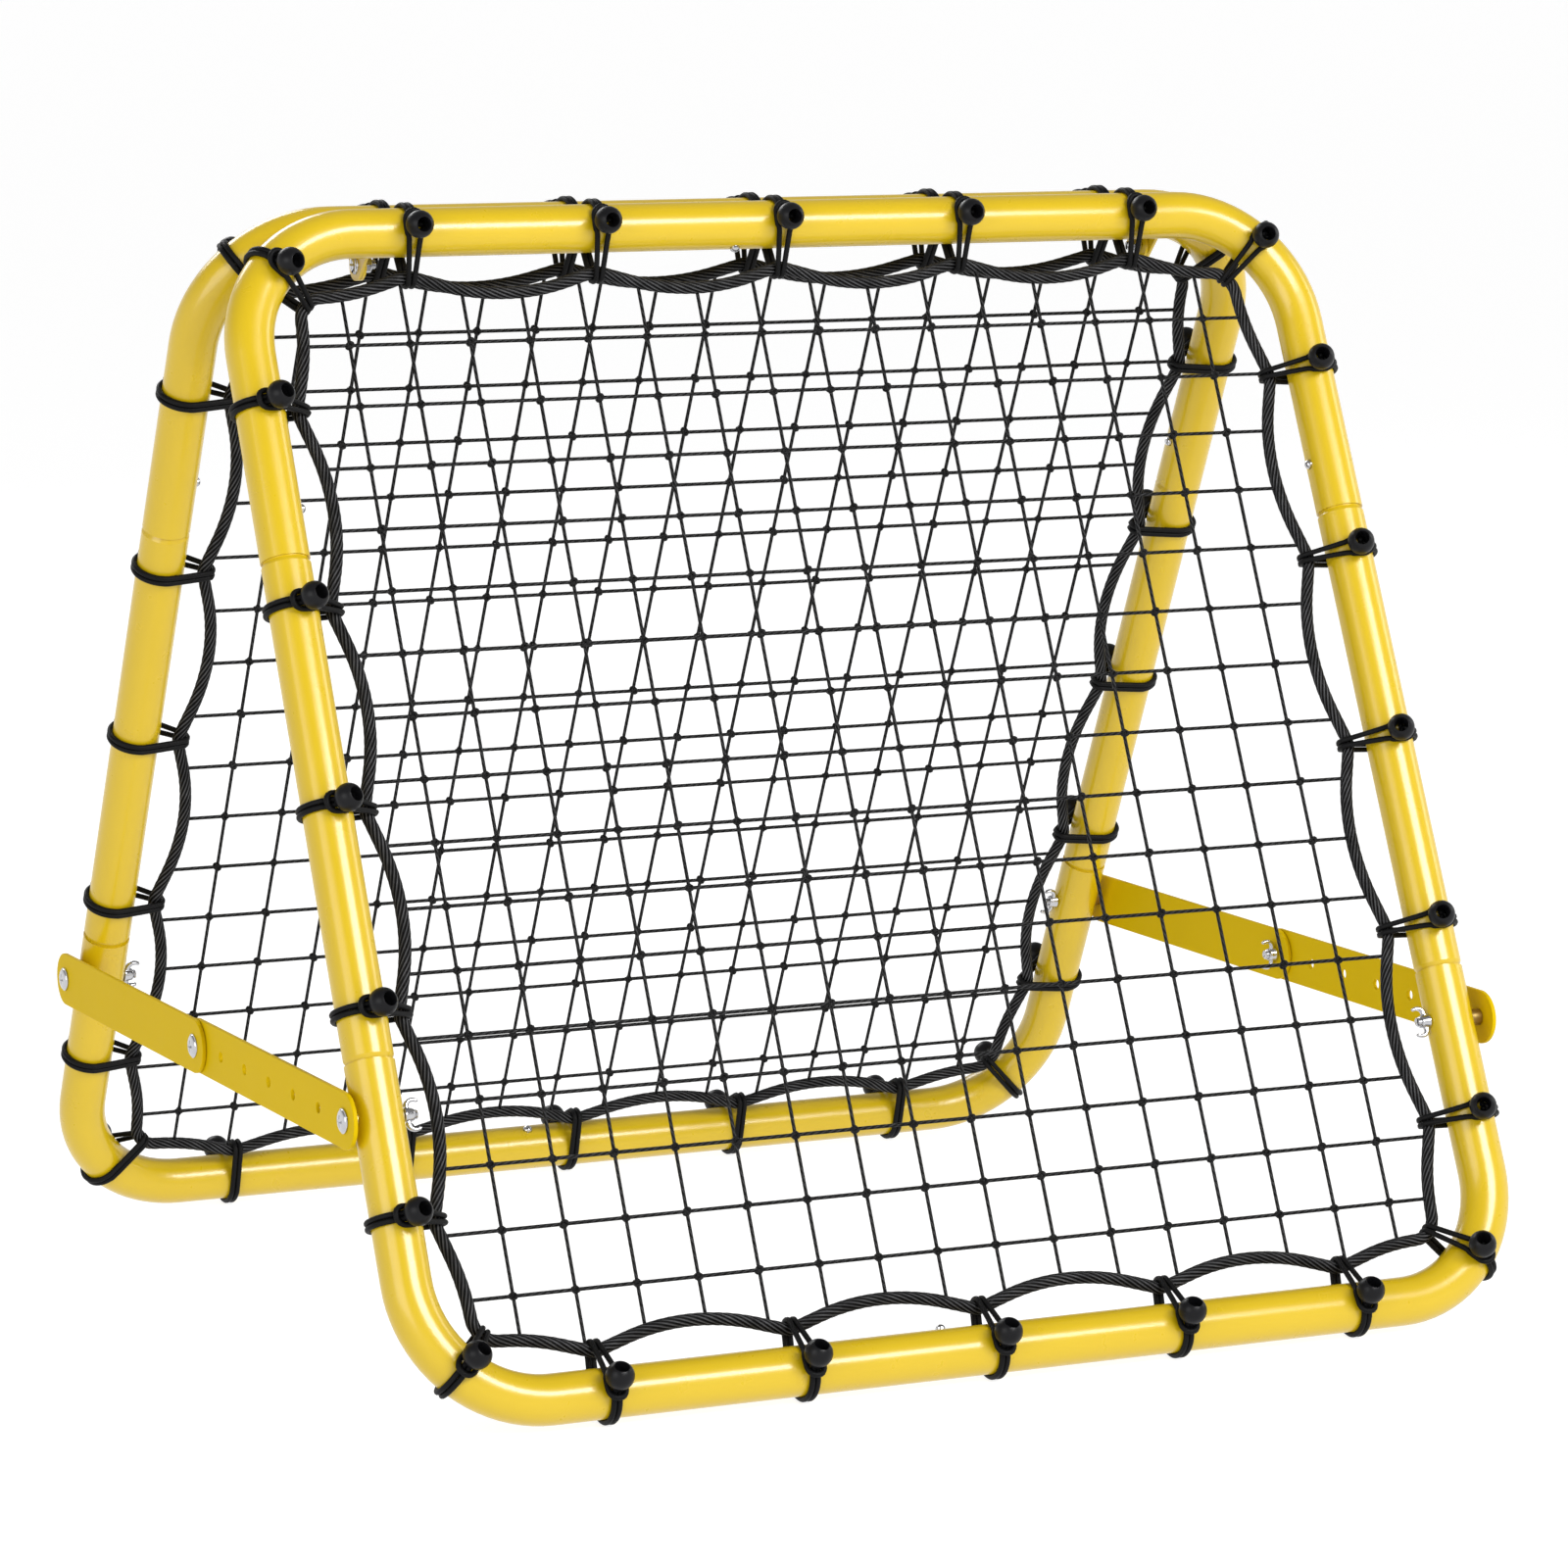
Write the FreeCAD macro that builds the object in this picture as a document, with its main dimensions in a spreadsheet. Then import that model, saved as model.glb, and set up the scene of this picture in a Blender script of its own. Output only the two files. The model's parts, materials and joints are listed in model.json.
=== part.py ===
"""Two-sided pitch back rebounder: two square tube frames hinged at the top, held apart by a bar brace on
each side, each frame carrying a knotted net in a border rope on 24 ball bungees.

World axes: X to the right, Y to the rear, Z up, the ground at Z = 0, the hinge line in the plane Y = 0.
Frame axes: x to the right, y up the slope from the top tube's axis, z normal to the frame. The front
frame's outer face is +z and the rear frame's outer face is -z, which `side` (+1 or -1) stands for.
"""
import FreeCAD
import Part

import math
import os

os.makedirs("parts", exist_ok=True)
doc = FreeCAD.newDocument("Rebounder")

# name, value in mm (or degrees for lean), what it is
DIMENSIONS = [
    ("tube_d", 40.0, "frame tube outside diameter"),
    ("tube_wall", 1.5, "frame tube wall"),
    ("frame_w", 960.0, "between the leg axes"),
    ("frame_l", 960.0, "between the top and bottom tube axes, along the slope"),
    ("bend_r", 102.0, "corner bend radius at the tube axis"),
    ("lean", 25.0, "lean of each frame from upright, degrees"),
    ("top_gap", 51.6, "between the two top tube axes"),
    ("foot_z", 24.725, "bottom tube axis above the ground"),
    ("seam_top", 275.0, "top tube axis to the upper leg seam"),
    ("seam_bottom", 685.0, "top tube axis to the lower leg seam"),
    ("swage_d", 36.7, "outside diameter of a swaged end"),
    ("swage_gap", 1.0, "swaged length showing beside a seam"),
    ("swage_taper", 3.5, "length of the swage shoulder"),
    ("insert_l", 60.0, "length of a swaged end inside its socket"),
    ("snap_leg", 43.0, "upper leg seam to its snap button"),
    ("snap_mid", 41.0, "mid seam to its snap button"),
    ("snap_d", 8.0, "snap button diameter"),
    ("snap_hole_d", 8.6, "snap button hole"),
    ("snap_out", 4.0, "snap button height above the tube"),
    ("hinge_drop", 26.5, "hinge axis below the top tube axes"),
    ("hinge_x", 362.0, "hinge centre from the middle"),
    ("tab_t", 2.5, "hinge tab thickness"),
    ("tab_r", 13.0, "hinge tab end radius"),
    ("tab_gap", 0.4, "between the two tabs of a hinge"),
    ("bolt_d", 8.0, "bolt shank diameter"),
    ("run_d", 8.12, "bore that turns on a bolt"),
    ("fixed_d", 8.3, "bolt hole through a tube"),
    ("brace_t", 728.0, "top tube axis to the leg bolt, down the slope"),
    ("bar_w", 45.0, "brace bar width"),
    ("bar_t", 3.5, "brace bar thickness"),
    ("bar_out", 25.1, "leg axis to the inner face of the inner bar"),
    ("bar_gap", 0.35, "between the two bars, and between a bar and a bolt head"),
    ("spare_d", 8.6, "spare hole diameter"),
    ("head_d", 20.0, "brace bolt head diameter"),
    ("head_h", 3.6, "brace bolt head height"),
    ("net_pitch", 52.2, "net mesh"),
    ("net_cord", 2.8, "net cord thickness"),
    ("net_shift", 4.0, "net centre below the frame centre, down the slope"),
    ("net_back", 9.0, "net plane behind the frame plane"),
    ("rope_d", 10.4, "border rope diameter"),
    ("rope_in", 35.0, "tube axis to the rope at a bungee"),
    ("cord_d", 4.6, "bungee cord diameter"),
    ("cord_gap", 0.15, "between a bungee cord and what it goes round"),
    ("cord_side", 4.7, "bungee strand from the middle of its bungee, at the frame plane"),
    ("cord_splay", 6.0, "angle each bungee strand leans away from the other, degrees"),
    ("ball_d", 22.8, "bungee ball diameter"),
    ("ball_hole_d", 11.6, "hole through a bungee ball"),
    ("ball_in", 6.5, "ball centre from the tube axis, inward"),
    ("ball_out", 34.0, "ball centre from the tube axis, off the frame's outer face"),
    ("ball_tilt", 25.0, "tilt of a ball's hole from the frame's normal, inward, degrees"),
    ("station", 166.0, "spacing of the bungees along a side"),
    ("relief_w", 19.2, "width left free of net cords at the last bungee of a side"),
    ("relief_in", 48.5, "tube axis to the inner end of that free width"),
]
sheet = doc.addObject("Spreadsheet::Sheet", "D")
for row, (alias, value, meaning) in enumerate(DIMENSIONS, start=1):
    sheet.set(f"A{row}", alias)
    sheet.set(f"B{row}", str(value))
    sheet.set(f"C{row}", meaning)
    sheet.setAlias(f"B{row}", alias)
doc.recompute()
DIM = {alias: value for alias, value, meaning in DIMENSIONS}

# Expressions used in several places
TUBE_R = "D.tube_d / 2"
BORE_R = "(D.tube_d / 2 - D.tube_wall)"
SWAGE_R = "D.swage_d / 2"
SWAGE_BORE_R = "(D.swage_d / 2 - D.tube_wall)"
TOP_Z = "(D.foot_z + D.frame_l * cos(D.lean))"
HINGE_Z = f"({TOP_Z} - D.hinge_drop)"
HINGE_DOWN = "(D.hinge_drop * cos(D.lean) - D.top_gap / 2 * sin(D.lean))"
HINGE_BACK = "(D.hinge_drop * sin(D.lean) + D.top_gap / 2 * cos(D.lean))"
BOLT_Y = "(D.top_gap / 2 + D.brace_t * sin(D.lean))"
BOLT_Z = f"({TOP_Z} - D.brace_t * cos(D.lean))"
LEG_X = "(D.frame_w / 2)"
TURN = {
    "+x": "rotation(vector(0; 1; 0); 90)",
    "-x": "rotation(vector(0; 1; 0); -90)",
    "+y": "rotation(vector(1; 0; 0); -90)",
    "-y": "rotation(vector(1; 0; 0); 90)",
    "+z": "rotation(vector(0; 0; 1); 0)",
}
FRAME = {
    "front": f"placement(vector(0; -D.top_gap / 2; {TOP_Z}); rotation(vector(1; 0; 0); 90 - D.lean))",
    "rear": f"placement(vector(0; D.top_gap / 2; {TOP_Z}); rotation(vector(1; 0; 0); 90 + D.lean))",
}
SIDES = {"left": -1, "right": 1}

nodes = []


def place(obj, x, y, z, rotation=TURN["+z"]):
    """Place an object by expressions."""
    obj.setExpression("Placement", f"placement(vector({x}; {y}; {z}); {rotation})")
    return obj


def cylinder(radius, length, x, y, z, axis):
    """A cylinder from a point along a named axis."""
    obj = doc.addObject("Part::Cylinder", "Cylinder")
    obj.setExpression("Radius", radius)
    obj.setExpression("Height", length)
    return place(obj, x, y, z, TURN[axis])


def cone(radius1, radius2, length, x, y, z, axis):
    """A cone frustum from a point along a named axis."""
    obj = doc.addObject("Part::Cone", "Cone")
    obj.setExpression("Radius1", radius1)
    obj.setExpression("Radius2", radius2)
    obj.setExpression("Height", length)
    return place(obj, x, y, z, TURN[axis])


def box(dx, dy, dz, x, y, z, rotation=TURN["+z"]):
    """A box from its corner."""
    obj = doc.addObject("Part::Box", "Box")
    obj.setExpression("Length", dx)
    obj.setExpression("Width", dy)
    obj.setExpression("Height", dz)
    return place(obj, x, y, z, rotation)


def fuse(shapes):
    """One solid from touching or overlapping ones."""
    obj = doc.addObject("Part::MultiFuse", "Fuse")
    obj.Shapes = shapes
    return obj


def cut(base, tool):
    """The base without the tool."""
    obj = doc.addObject("Part::Cut", "Cut")
    obj.Base = base
    obj.Tool = tool
    return obj


def node(obj, label, frame=None):
    """Name a finished sub-part, and put it into its frame's axes."""
    obj.Label = label
    if frame:
        obj.setExpression("Placement", FRAME[frame])
    nodes.append(obj)
    return obj


def group(objs, label, frame=None):
    """Several separate solids as one sub-part."""
    obj = doc.addObject("Part::Compound", "Group")
    obj.Links = objs
    return node(obj, label, frame)


def outline(points, plane):
    """A closed sketch through (u, v) points. A point given as (u, v, "arc") is the middle of an arc."""
    sketch = doc.addObject("Sketcher::SketchObject", "Sketch")
    turn = FreeCAD.Rotation(FreeCAD.Vector(1, 0, 0), 90)
    if plane == "YZ":
        turn = FreeCAD.Rotation(FreeCAD.Vector(1, 1, 1), 120)
    sketch.Placement = FreeCAD.Placement(FreeCAD.Vector(), turn)
    loop = [FreeCAD.Vector(point[0], point[1], 0) for point in points + points[:1]]
    step = 0
    while step < len(points):
        if len((points + points[:1])[step + 1]) == 3:
            sketch.addGeometry(Part.Arc(loop[step], loop[step + 1], loop[step + 2]))
            step += 2
        else:
            sketch.addGeometry(Part.LineSegment(loop[step], loop[step + 1]))
            step += 1
    return sketch


def turned(points):
    """A solid of revolution about Z from (radius, height) points."""
    obj = doc.addObject("Part::Revolution", "Turned")
    obj.Source = outline(points, "XZ")
    obj.Axis = FreeCAD.Vector(0, 0, 1)
    obj.Base = FreeCAD.Vector()
    obj.Angle = 360
    obj.Solid = True
    return obj


def dome(radius, base, height):
    """The middle and the top point of a spherical dome's profile over a disc."""
    sphere_r = (radius ** 2 + height ** 2) / (2 * height)
    middle = math.sqrt(sphere_r ** 2 - radius ** 2 / 4) - (sphere_r - height)
    return [(radius / 2, base + middle, "arc"), (0, base + height)]


def plate(points, plane, width):
    """A flat piece of a given width, centred on its sketch plane."""
    obj = doc.addObject("Part::Extrusion", "Plate")
    obj.Base = outline(points, plane)
    obj.DirMode = "Normal"
    obj.LengthFwd = width / 2
    obj.LengthRev = width / 2
    obj.Solid = True
    return obj


def snap_hole(x, y, axis):
    """A drill for a snap button, from a tube's axis outward."""
    return cylinder("D.snap_hole_d / 2", "D.tube_d", x, y, "0", axis)


def swaged_end(x, y, axis, hollow):
    """The shoulder and the insert of a swaged end, from where the tube narrows, outer or hollow."""
    wide = BORE_R if hollow else TUBE_R
    narrow = SWAGE_BORE_R if hollow else SWAGE_R
    extra = "1" if hollow else "0"
    step = {"+y": (0, 1), "-y": (0, -1), "-x": (-1, 0)}[axis]
    ring_x = f"({x} + {step[0]} * D.swage_taper)"
    ring_y = f"({y} + {step[1]} * D.swage_taper)"
    return [
        cone(wide, narrow, "D.swage_taper", x, y, "0", axis),
        cylinder(narrow, f"D.swage_gap + D.insert_l + {extra}", ring_x, ring_y, "0", axis),
    ]


def corner_tube(frame, row, side):
    """An L-bent corner tube: leg half, bend, and half of the top or bottom tube."""
    sx = SIDES[side]
    top = row == "top"
    leg_x = f"({sx} * {LEG_X})"
    cross_y = "0" if top else "-D.frame_l"
    bend_x = f"({sx} * ({LEG_X} - D.bend_r))"
    bend_y = "-D.bend_r" if top else "(D.bend_r - D.frame_l)"
    turn = {("top", "right"): 0, ("top", "left"): 90, ("bottom", "left"): 180, ("bottom", "right"): 270}
    leg_y = "-D.seam_top" if top else bend_y
    leg_l = "(D.seam_top - D.bend_r)" if top else "(D.frame_l - D.bend_r - D.seam_bottom)"
    shells = []
    for hollow in (False, True):
        radius = BORE_R if hollow else TUBE_R
        extra = "1" if hollow else "0"
        start_y = f"({leg_y} - {extra})" if top else leg_y
        bend = doc.addObject("Part::Torus", "Bend")
        bend.setExpression("Radius1", "D.bend_r")
        bend.setExpression("Radius2", radius)
        bend.Angle3 = 90
        place(bend, bend_x, bend_y, "0", f"rotation(vector(0; 0; 1); {turn[row, side]})")
        pieces = [bend, cylinder(radius, f"{leg_l} + {extra}", leg_x, start_y, "0", "+y")]
        if side == "left":
            length = f"{LEG_X} - D.bend_r + {extra}"
            pieces.append(cylinder(radius, length, bend_x, cross_y, "0", "+x"))
        else:
            narrow_x = "(D.swage_gap + D.swage_taper)"
            length = f"{LEG_X} - D.bend_r - {narrow_x}"
            pieces.append(cylinder(radius, length, narrow_x, cross_y, "0", "+x"))
            pieces += swaged_end(narrow_x, cross_y, "-x", hollow)
        shells.append(fuse(pieces))
    drills = [snap_hole("-D.snap_mid", cross_y, "-y" if top else "+y")]
    if top:
        drills.append(snap_hole(leg_x, "D.snap_leg - D.seam_top", "+x" if side == "left" else "-x"))
    else:
        bolt_x = f"({leg_x} - D.tube_d)"
        drills.append(cylinder("D.fixed_d / 2", "2 * D.tube_d", bolt_x, "-D.brace_t", "0", "+x"))
    tube = cut(cut(shells[0], shells[1]), fuse(drills))
    return node(tube, f"{frame}_corner_{row}_{side}", frame)


def leg_tube(frame, side):
    """A straight leg tube with both ends swaged."""
    leg_x = f"({SIDES[side]} * {LEG_X})"
    high = "-(D.seam_top + D.swage_gap + D.swage_taper)"
    low = "-(D.seam_bottom - D.swage_gap - D.swage_taper)"
    shells = []
    for hollow in (False, True):
        radius = BORE_R if hollow else TUBE_R
        pieces = [cylinder(radius, f"{high} - ({low})", leg_x, low, "0", "+y")]
        pieces += swaged_end(leg_x, high, "+y", hollow)
        pieces += swaged_end(leg_x, low, "-y", hollow)
        shells.append(fuse(pieces))
    drills = [snap_hole(leg_x, "D.snap_leg - D.seam_top", "+x" if side == "left" else "-x")]
    bolt_x = f"({leg_x} - D.tube_d)"
    drills.append(cylinder("D.fixed_d / 2", "2 * D.tube_d", bolt_x, "-D.brace_t", "0", "+x"))
    return node(cut(cut(shells[0], shells[1]), fuse(drills)), f"{frame}_leg_{side}", frame)


def snap_places():
    """Name, x, y, outward axis, and how its spring is turned, for a frame's four snap buttons."""
    leg_y = "(D.snap_leg - D.seam_top)"
    return [
        ("leg_left", f"-{LEG_X}", leg_y, "+x", "rotation(vector(1; 1; 1); 120)"),
        ("leg_right", LEG_X, leg_y, "-x", "rotation(vector(-1; -1; 1); 120)"),
        ("top", "-D.snap_mid", "0", "-y", "rotation(vector(0; 1; -1); 180)"),
        ("bottom", "-D.snap_mid", "-D.frame_l", "+y", "rotation(vector(0; 1; 1); 180)"),
    ]


def snap_button(frame, name, x, y, axis):
    """A domed snap button with a flange, its axis through the tube's axis."""
    stem = DIM["snap_d"] / 2
    tip = DIM["tube_d"] / 2 + DIM["snap_out"]
    button = turned([
        (0, 13.2),
        (stem + 1.4, 13.2),
        (stem + 1.4, 14.2),
        (stem, 14.2),
        (stem, tip - 2.6),
        *dome(stem, tip - 2.6, 2.6),
    ])
    place(button, x, y, "0", TURN[axis])
    return group([button], f"{frame}_button_{name}", frame)


def snap_spring(x, y, rotation):
    """A V-shaped leaf spring inside a tube: one leg round the button, the other on the far wall."""
    strip = plate([
        (10, 15.4),
        (-12, 15.4),
        (-41, 1.2),
        (-41, -1.2),
        (8, -15.6),
        (8, -14.8),
        (-39.7, -0.5),
        (-39.7, 0.5),
        (-11.8, 14.6),
        (10, 14.6),
    ], "XZ", 11)
    drilled = cut(strip, cylinder("D.snap_hole_d / 2", "10", "0", "0", "10", "+z"))
    return place(drilled, x, y, "0", rotation)


def hinge_tab(frame, side):
    """A round-ended tab welded under a top tube, reaching to the hinge bolt."""
    front = frame == "front"
    sign = 1 if front else -1
    inner = "D.tab_gap / 2" if front else "(-D.tab_gap / 2 - D.tab_t)"
    x = f"(D.hinge_x + {inner})"
    if side == "left":
        x = f"(-{x} - D.tab_t)"
    y = f"-{HINGE_DOWN}"
    z = f"({-sign} * {HINGE_BACK})"
    reach = f"sqrt({HINGE_DOWN} ^ 2 + {HINGE_BACK} ^ 2)"
    tilt = f"atan({HINGE_DOWN} / {HINGE_BACK})"
    angle = f"-{tilt}" if front else f"{tilt} - 180 deg"
    strap = box("D.tab_t", "2 * D.tab_r", reach, "0", "0", "0")
    swing = f"placement(vector({x}; {y}; {z}); rotation(vector(1; 0; 0); {angle}))"
    shift = "placement(vector(0; -D.tab_r; 0); rotation(vector(0; 0; 1); 0))"
    strap.setExpression("Placement", f"{swing} * {shift}")
    blank = fuse([cylinder("D.tab_r", "D.tab_t", x, y, z, "+x"), strap])
    tube = cylinder(TUBE_R, "D.tab_t + 2", f"({x} - 1)", "0", "0", "+x")
    bore = "D.fixed_d / 2" if front else "D.run_d / 2"
    drill = cylinder(bore, "D.tab_t + 2", f"({x} - 1)", y, z, "+x")
    return node(cut(blank, fuse([tube, drill])), f"{frame}_hinge_tab_{side}", frame)


def bolt(length, head_d, head_h):
    """A dome-headed bolt along Z: thread end at 0, the head beyond the length."""
    shank = DIM["bolt_d"] / 2
    return turned([
        (0, 0),
        (shank - 0.6, 0),
        (shank, 0.6),
        (shank, length),
        (head_d / 2, length),
        (head_d / 2, length + 0.8),
        *dome(head_d / 2, length + 0.8, head_h - 0.8),
    ])


def wing_nut():
    """A wing nut along Z with its base at 0, wings along Y."""
    boss = cone("6.5", "5.2", "8", "0", "0", "0", "+z")
    wings = []
    for sign in (-1, 1):
        wings.append(plate([
            (sign * 3, 1.5),
            (sign * 7.5, 2.2),
            (sign * 11.2, 5.4),
            (sign * 13.2, 9.6),
            (sign * 13.0, 13.4),
            (sign * 10.6, 14.0),
            (sign * 9.6, 11.0),
            (sign * 7.6, 8.6),
            (sign * 3, 7.2),
        ], "YZ", 2.4))
    return cut(fuse([boss] + wings), cylinder("D.run_d / 2", "20", "0", "0", "-5", "+z"))


def scallop_path(inset):
    """The border rope's path in a frame's x, y, moved inward by the inset: straight runs, a dip out to
    each bungee made of two arcs and two tangent lines, and round corners. Arcs carry a middle point."""
    slope = math.radians(20)
    dip_r = 15.0 - inset
    ease_r = 75.0 + inset
    line = 25.0
    corner_r = 20.0 - inset
    centre_v = DIM["rope_in"] + 15.0
    flat_v = centre_v - 15.0 * math.cos(slope) + line * math.sin(slope) + 75.0 * (1 - math.cos(slope))
    ease_u = (15.0 + 75.0) * math.sin(slope) + line * math.cos(slope)
    ease_v = flat_v - 75.0
    turn_v = flat_v + 20.0
    half_w = DIM["frame_w"] / 2
    half_l = DIM["frame_l"] / 2
    path = []
    for number in range(4):
        half_u, half_v = (half_w, half_l) if number % 2 == 0 else (half_l, half_w)
        angle = -math.pi / 2 * number

        def at(u, v, middle=False):
            """A point from side coordinates: along the side, and inward from its tube axis."""
            x = u * math.cos(angle) - (half_v - v) * math.sin(angle)
            y = u * math.sin(angle) + (half_v - v) * math.cos(angle)
            return (FreeCAD.Vector(x, y - half_l, 0), middle)

        path.append(at(turn_v - half_u, flat_v + inset))
        for station in (-2, -1, 0, 1, 2):
            u = station * DIM["station"]
            for way in (-1, 1):
                near_u = u + way * dip_r * math.sin(slope)
                near_v = centre_v - dip_r * math.cos(slope)
                far_u = u + way * (ease_u - ease_r * math.sin(slope))
                far_v = ease_v + ease_r * math.cos(slope)
                half_u_arc = u + way * (ease_u - ease_r * math.sin(slope / 2))
                half_v_arc = ease_v + ease_r * math.cos(slope / 2)
                run = [
                    at(u + way * ease_u, ease_v + ease_r),
                    at(half_u_arc, half_v_arc, True),
                    at(far_u, far_v),
                    at(near_u, near_v),
                ]
                if way < 0:
                    path += run
                    path.append(at(u, centre_v - dip_r, True))
                else:
                    path += run[::-1]
        path.append(at(half_u - turn_v, flat_v + inset))
        diagonal = corner_r * math.sqrt(0.5)
        path.append(at(half_u - turn_v + diagonal, turn_v - diagonal, True))
    return path


def wire_through(path, z):
    """A closed wire along a path of points, at a height."""
    lift = FreeCAD.Vector(0, 0, z)
    points = [(point + lift, middle) for point, middle in path + path[:1]]
    edges = []
    step = 0
    while step < len(path):
        start = points[step][0]
        after, middle = points[step + 1]
        if middle:
            edges.append(Part.Arc(start, after, points[step + 2][0]).toShape())
            step += 2
        else:
            edges.append(Part.LineSegment(start, after).toShape())
            step += 1
    return Part.Wire(edges)


def swept(wire, diameter):
    """A round cord along a closed wire."""
    start = wire.Edges[0].valueAt(wire.Edges[0].FirstParameter)
    along = wire.Edges[0].tangentAt(wire.Edges[0].FirstParameter)
    section = Part.Wire(Part.Circle(start, along, diameter / 2).toShape())
    return wire.makePipeShell([section], True, False)


def feature(shape, label, frame=None):
    """A swept or repeated sub-part that no primitive or body covers."""
    obj = doc.addObject("Part::Feature", "Swept")
    obj.Shape = shape
    return node(obj, label, frame)


def bungee_reliefs():
    """Boxes over the first and last bungee of each side, whose strands a net cord would run into."""
    reliefs = []
    shift = "placement(vector(-D.relief_w / 2; 0; -20); rotation(vector(0; 0; 1); 0))"
    for station in (-2, 2):
        along = f"({station} * D.station)"
        for x, y, angle in (
            (along, "0", 180),
            (along, "-D.frame_l", 0),
            (f"-{LEG_X}", f"({along} - D.frame_l / 2)", -90),
            (LEG_X, f"({along} - D.frame_l / 2)", 90),
        ):
            relief = box("D.relief_w", "D.relief_in", "40", "0", "0", "0")
            turn = f"placement(vector({x}; {y}; 0); rotation(vector(0; 0; 1); {angle}))"
            relief.setExpression("Placement", f"{turn} * {shift}")
            reliefs.append(relief)
    return fuse(reliefs)


def net(frame, sign):
    """The square net as one flat lattice, trimmed to the inside of the border rope and clear of the
    bungees. A cord that meets the rope beside a bungee stops short of it."""
    count = 16
    half = (count - 1) / 2
    cords = []
    middle_y = "(-D.frame_l / 2 - D.net_shift)"
    z = f"({-sign} * D.net_back - D.net_cord / 2)"
    for number in range(count):
        across = f"({number - half} * D.net_pitch - D.net_cord / 2)"
        down = f"({middle_y} - D.frame_l / 2)"
        cords.append(box("D.net_cord", "D.frame_l", "D.net_cord", across, down, z))
        left = "(-D.frame_w / 2)"
        cords.append(box("D.frame_w", "D.net_cord", "D.net_cord", left, f"({middle_y} + {across})", z))
    trim = doc.addObject("Part::Feature", "Trim")
    rim = wire_through(scallop_path(DIM["rope_d"] / 2 + 0.02), -sign * DIM["net_back"] - 10)
    trim.Shape = Part.Face(rim).extrude(FreeCAD.Vector(0, 0, 20))
    lattice = doc.addObject("Part::MultiCommon", "Lattice")
    lattice.Shapes = [fuse(cords), trim]
    return node(cut(lattice, bungee_reliefs()), f"{frame}_net", frame)


def strand(tube_clear):
    """One closed strand of a bungee round the tube (along Y, at the origin) and the border rope."""
    tube_r = DIM["tube_d"] / 2 + tube_clear + DIM["cord_d"] / 2
    rope_r = DIM["rope_d"] / 2 + 1.1 + DIM["cord_d"] / 2
    rope_x = DIM["rope_in"] + 1.05
    rope_z = -DIM["net_back"]
    reach = math.hypot(rope_x, rope_z)
    base = math.atan2(rope_z, rope_x)
    open_angle = math.acos((tube_r - rope_r) / reach)

    def on(x, z, radius, angle):
        """A point on a circle in the XZ plane."""
        return FreeCAD.Vector(x + radius * math.cos(angle), 0, z + radius * math.sin(angle))

    upper = base + open_angle
    lower = base - open_angle
    edges = [
        Part.Arc(on(0, 0, tube_r, upper), on(0, 0, tube_r, base + math.pi), on(0, 0, tube_r, lower)),
        Part.LineSegment(on(0, 0, tube_r, lower), on(rope_x, rope_z, rope_r, lower)),
        Part.Arc(
            on(rope_x, rope_z, rope_r, lower),
            on(rope_x, rope_z, rope_r, base),
            on(rope_x, rope_z, rope_r, upper),
        ),
        Part.LineSegment(on(rope_x, rope_z, rope_r, upper), on(0, 0, tube_r, upper)),
    ]
    return swept(Part.Wire([edge.toShape() for edge in edges]), DIM["cord_d"])


def ball():
    """A bungee ball on the outer face of a tube along Y, its hole tilted inward across the tube."""
    sphere = Part.makeSphere(DIM["ball_d"] / 2)
    length = DIM["ball_d"] * 2
    base = FreeCAD.Vector(0, 0, -length / 2)
    hole = Part.makeCylinder(DIM["ball_hole_d"] / 2, length, base)
    pierced = sphere.cut(hole)
    turn = FreeCAD.Rotation(FreeCAD.Vector(0, 1, 0), DIM["ball_tilt"])
    pierced.Placement = FreeCAD.Placement(FreeCAD.Vector(DIM["ball_in"], 0, DIM["ball_out"]), turn)
    return pierced


def stations():
    """Centre, inward angle in degrees and kind of every bungee of a frame: four sides and four corners."""
    half_w = DIM["frame_w"] / 2
    half_l = DIM["frame_l"] / 2
    corner = DIM["bend_r"] * (1 - math.sqrt(0.5))
    found = []
    for number in (-2, -1, 0, 1, 2):
        along = number * DIM["station"]
        found.append((along, 0, -90, "side"))
        found.append((along, -2 * half_l, 90, "bottom"))
        found.append((-half_w, along - half_l, 0, "side"))
        found.append((half_w, along - half_l, 180, "side"))
    for sx in (-1, 1):
        found.append((sx * (half_w - corner), -corner, -90 + sx * -45, "corner"))
        found.append((sx * (half_w - corner), corner - 2 * half_l, 90 + sx * 45, "corner"))
    return found


def bungees(frame, sign):
    """The 24 bungees of a frame: balls, and doubled cords as two splayed strands each."""
    plain = strand(DIM["cord_gap"])
    loose = strand(DIM["cord_gap"] + 0.4)
    pierced = ball()
    over = FreeCAD.Rotation(FreeCAD.Vector(1, 0, 0), 0 if sign > 0 else 180)
    found = {"balls": [], "cords": [], "cords_bottom": []}
    for x, y, angle, kind in stations():
        turn = FreeCAD.Rotation(FreeCAD.Vector(0, 0, 1), angle).multiply(over)
        there = FreeCAD.Placement(FreeCAD.Vector(x, y, 0), turn)
        found["balls"].append(pierced.transformed(there.toMatrix()))
        for way in (-1, 1):
            splay = FreeCAD.Rotation(FreeCAD.Vector(1, 0, 0), -way * DIM["cord_splay"])
            shift = FreeCAD.Placement(FreeCAD.Vector(0, way * DIM["cord_side"], 0), splay)
            cord = (loose if kind == "corner" else plain).transformed(there.multiply(shift).toMatrix())
            found["cords_bottom" if kind == "bottom" else "cords"].append(cord)
    for name, shapes in found.items():
        feature(Part.makeCompound(shapes), f"{frame}_bungee_{name}", frame)


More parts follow.
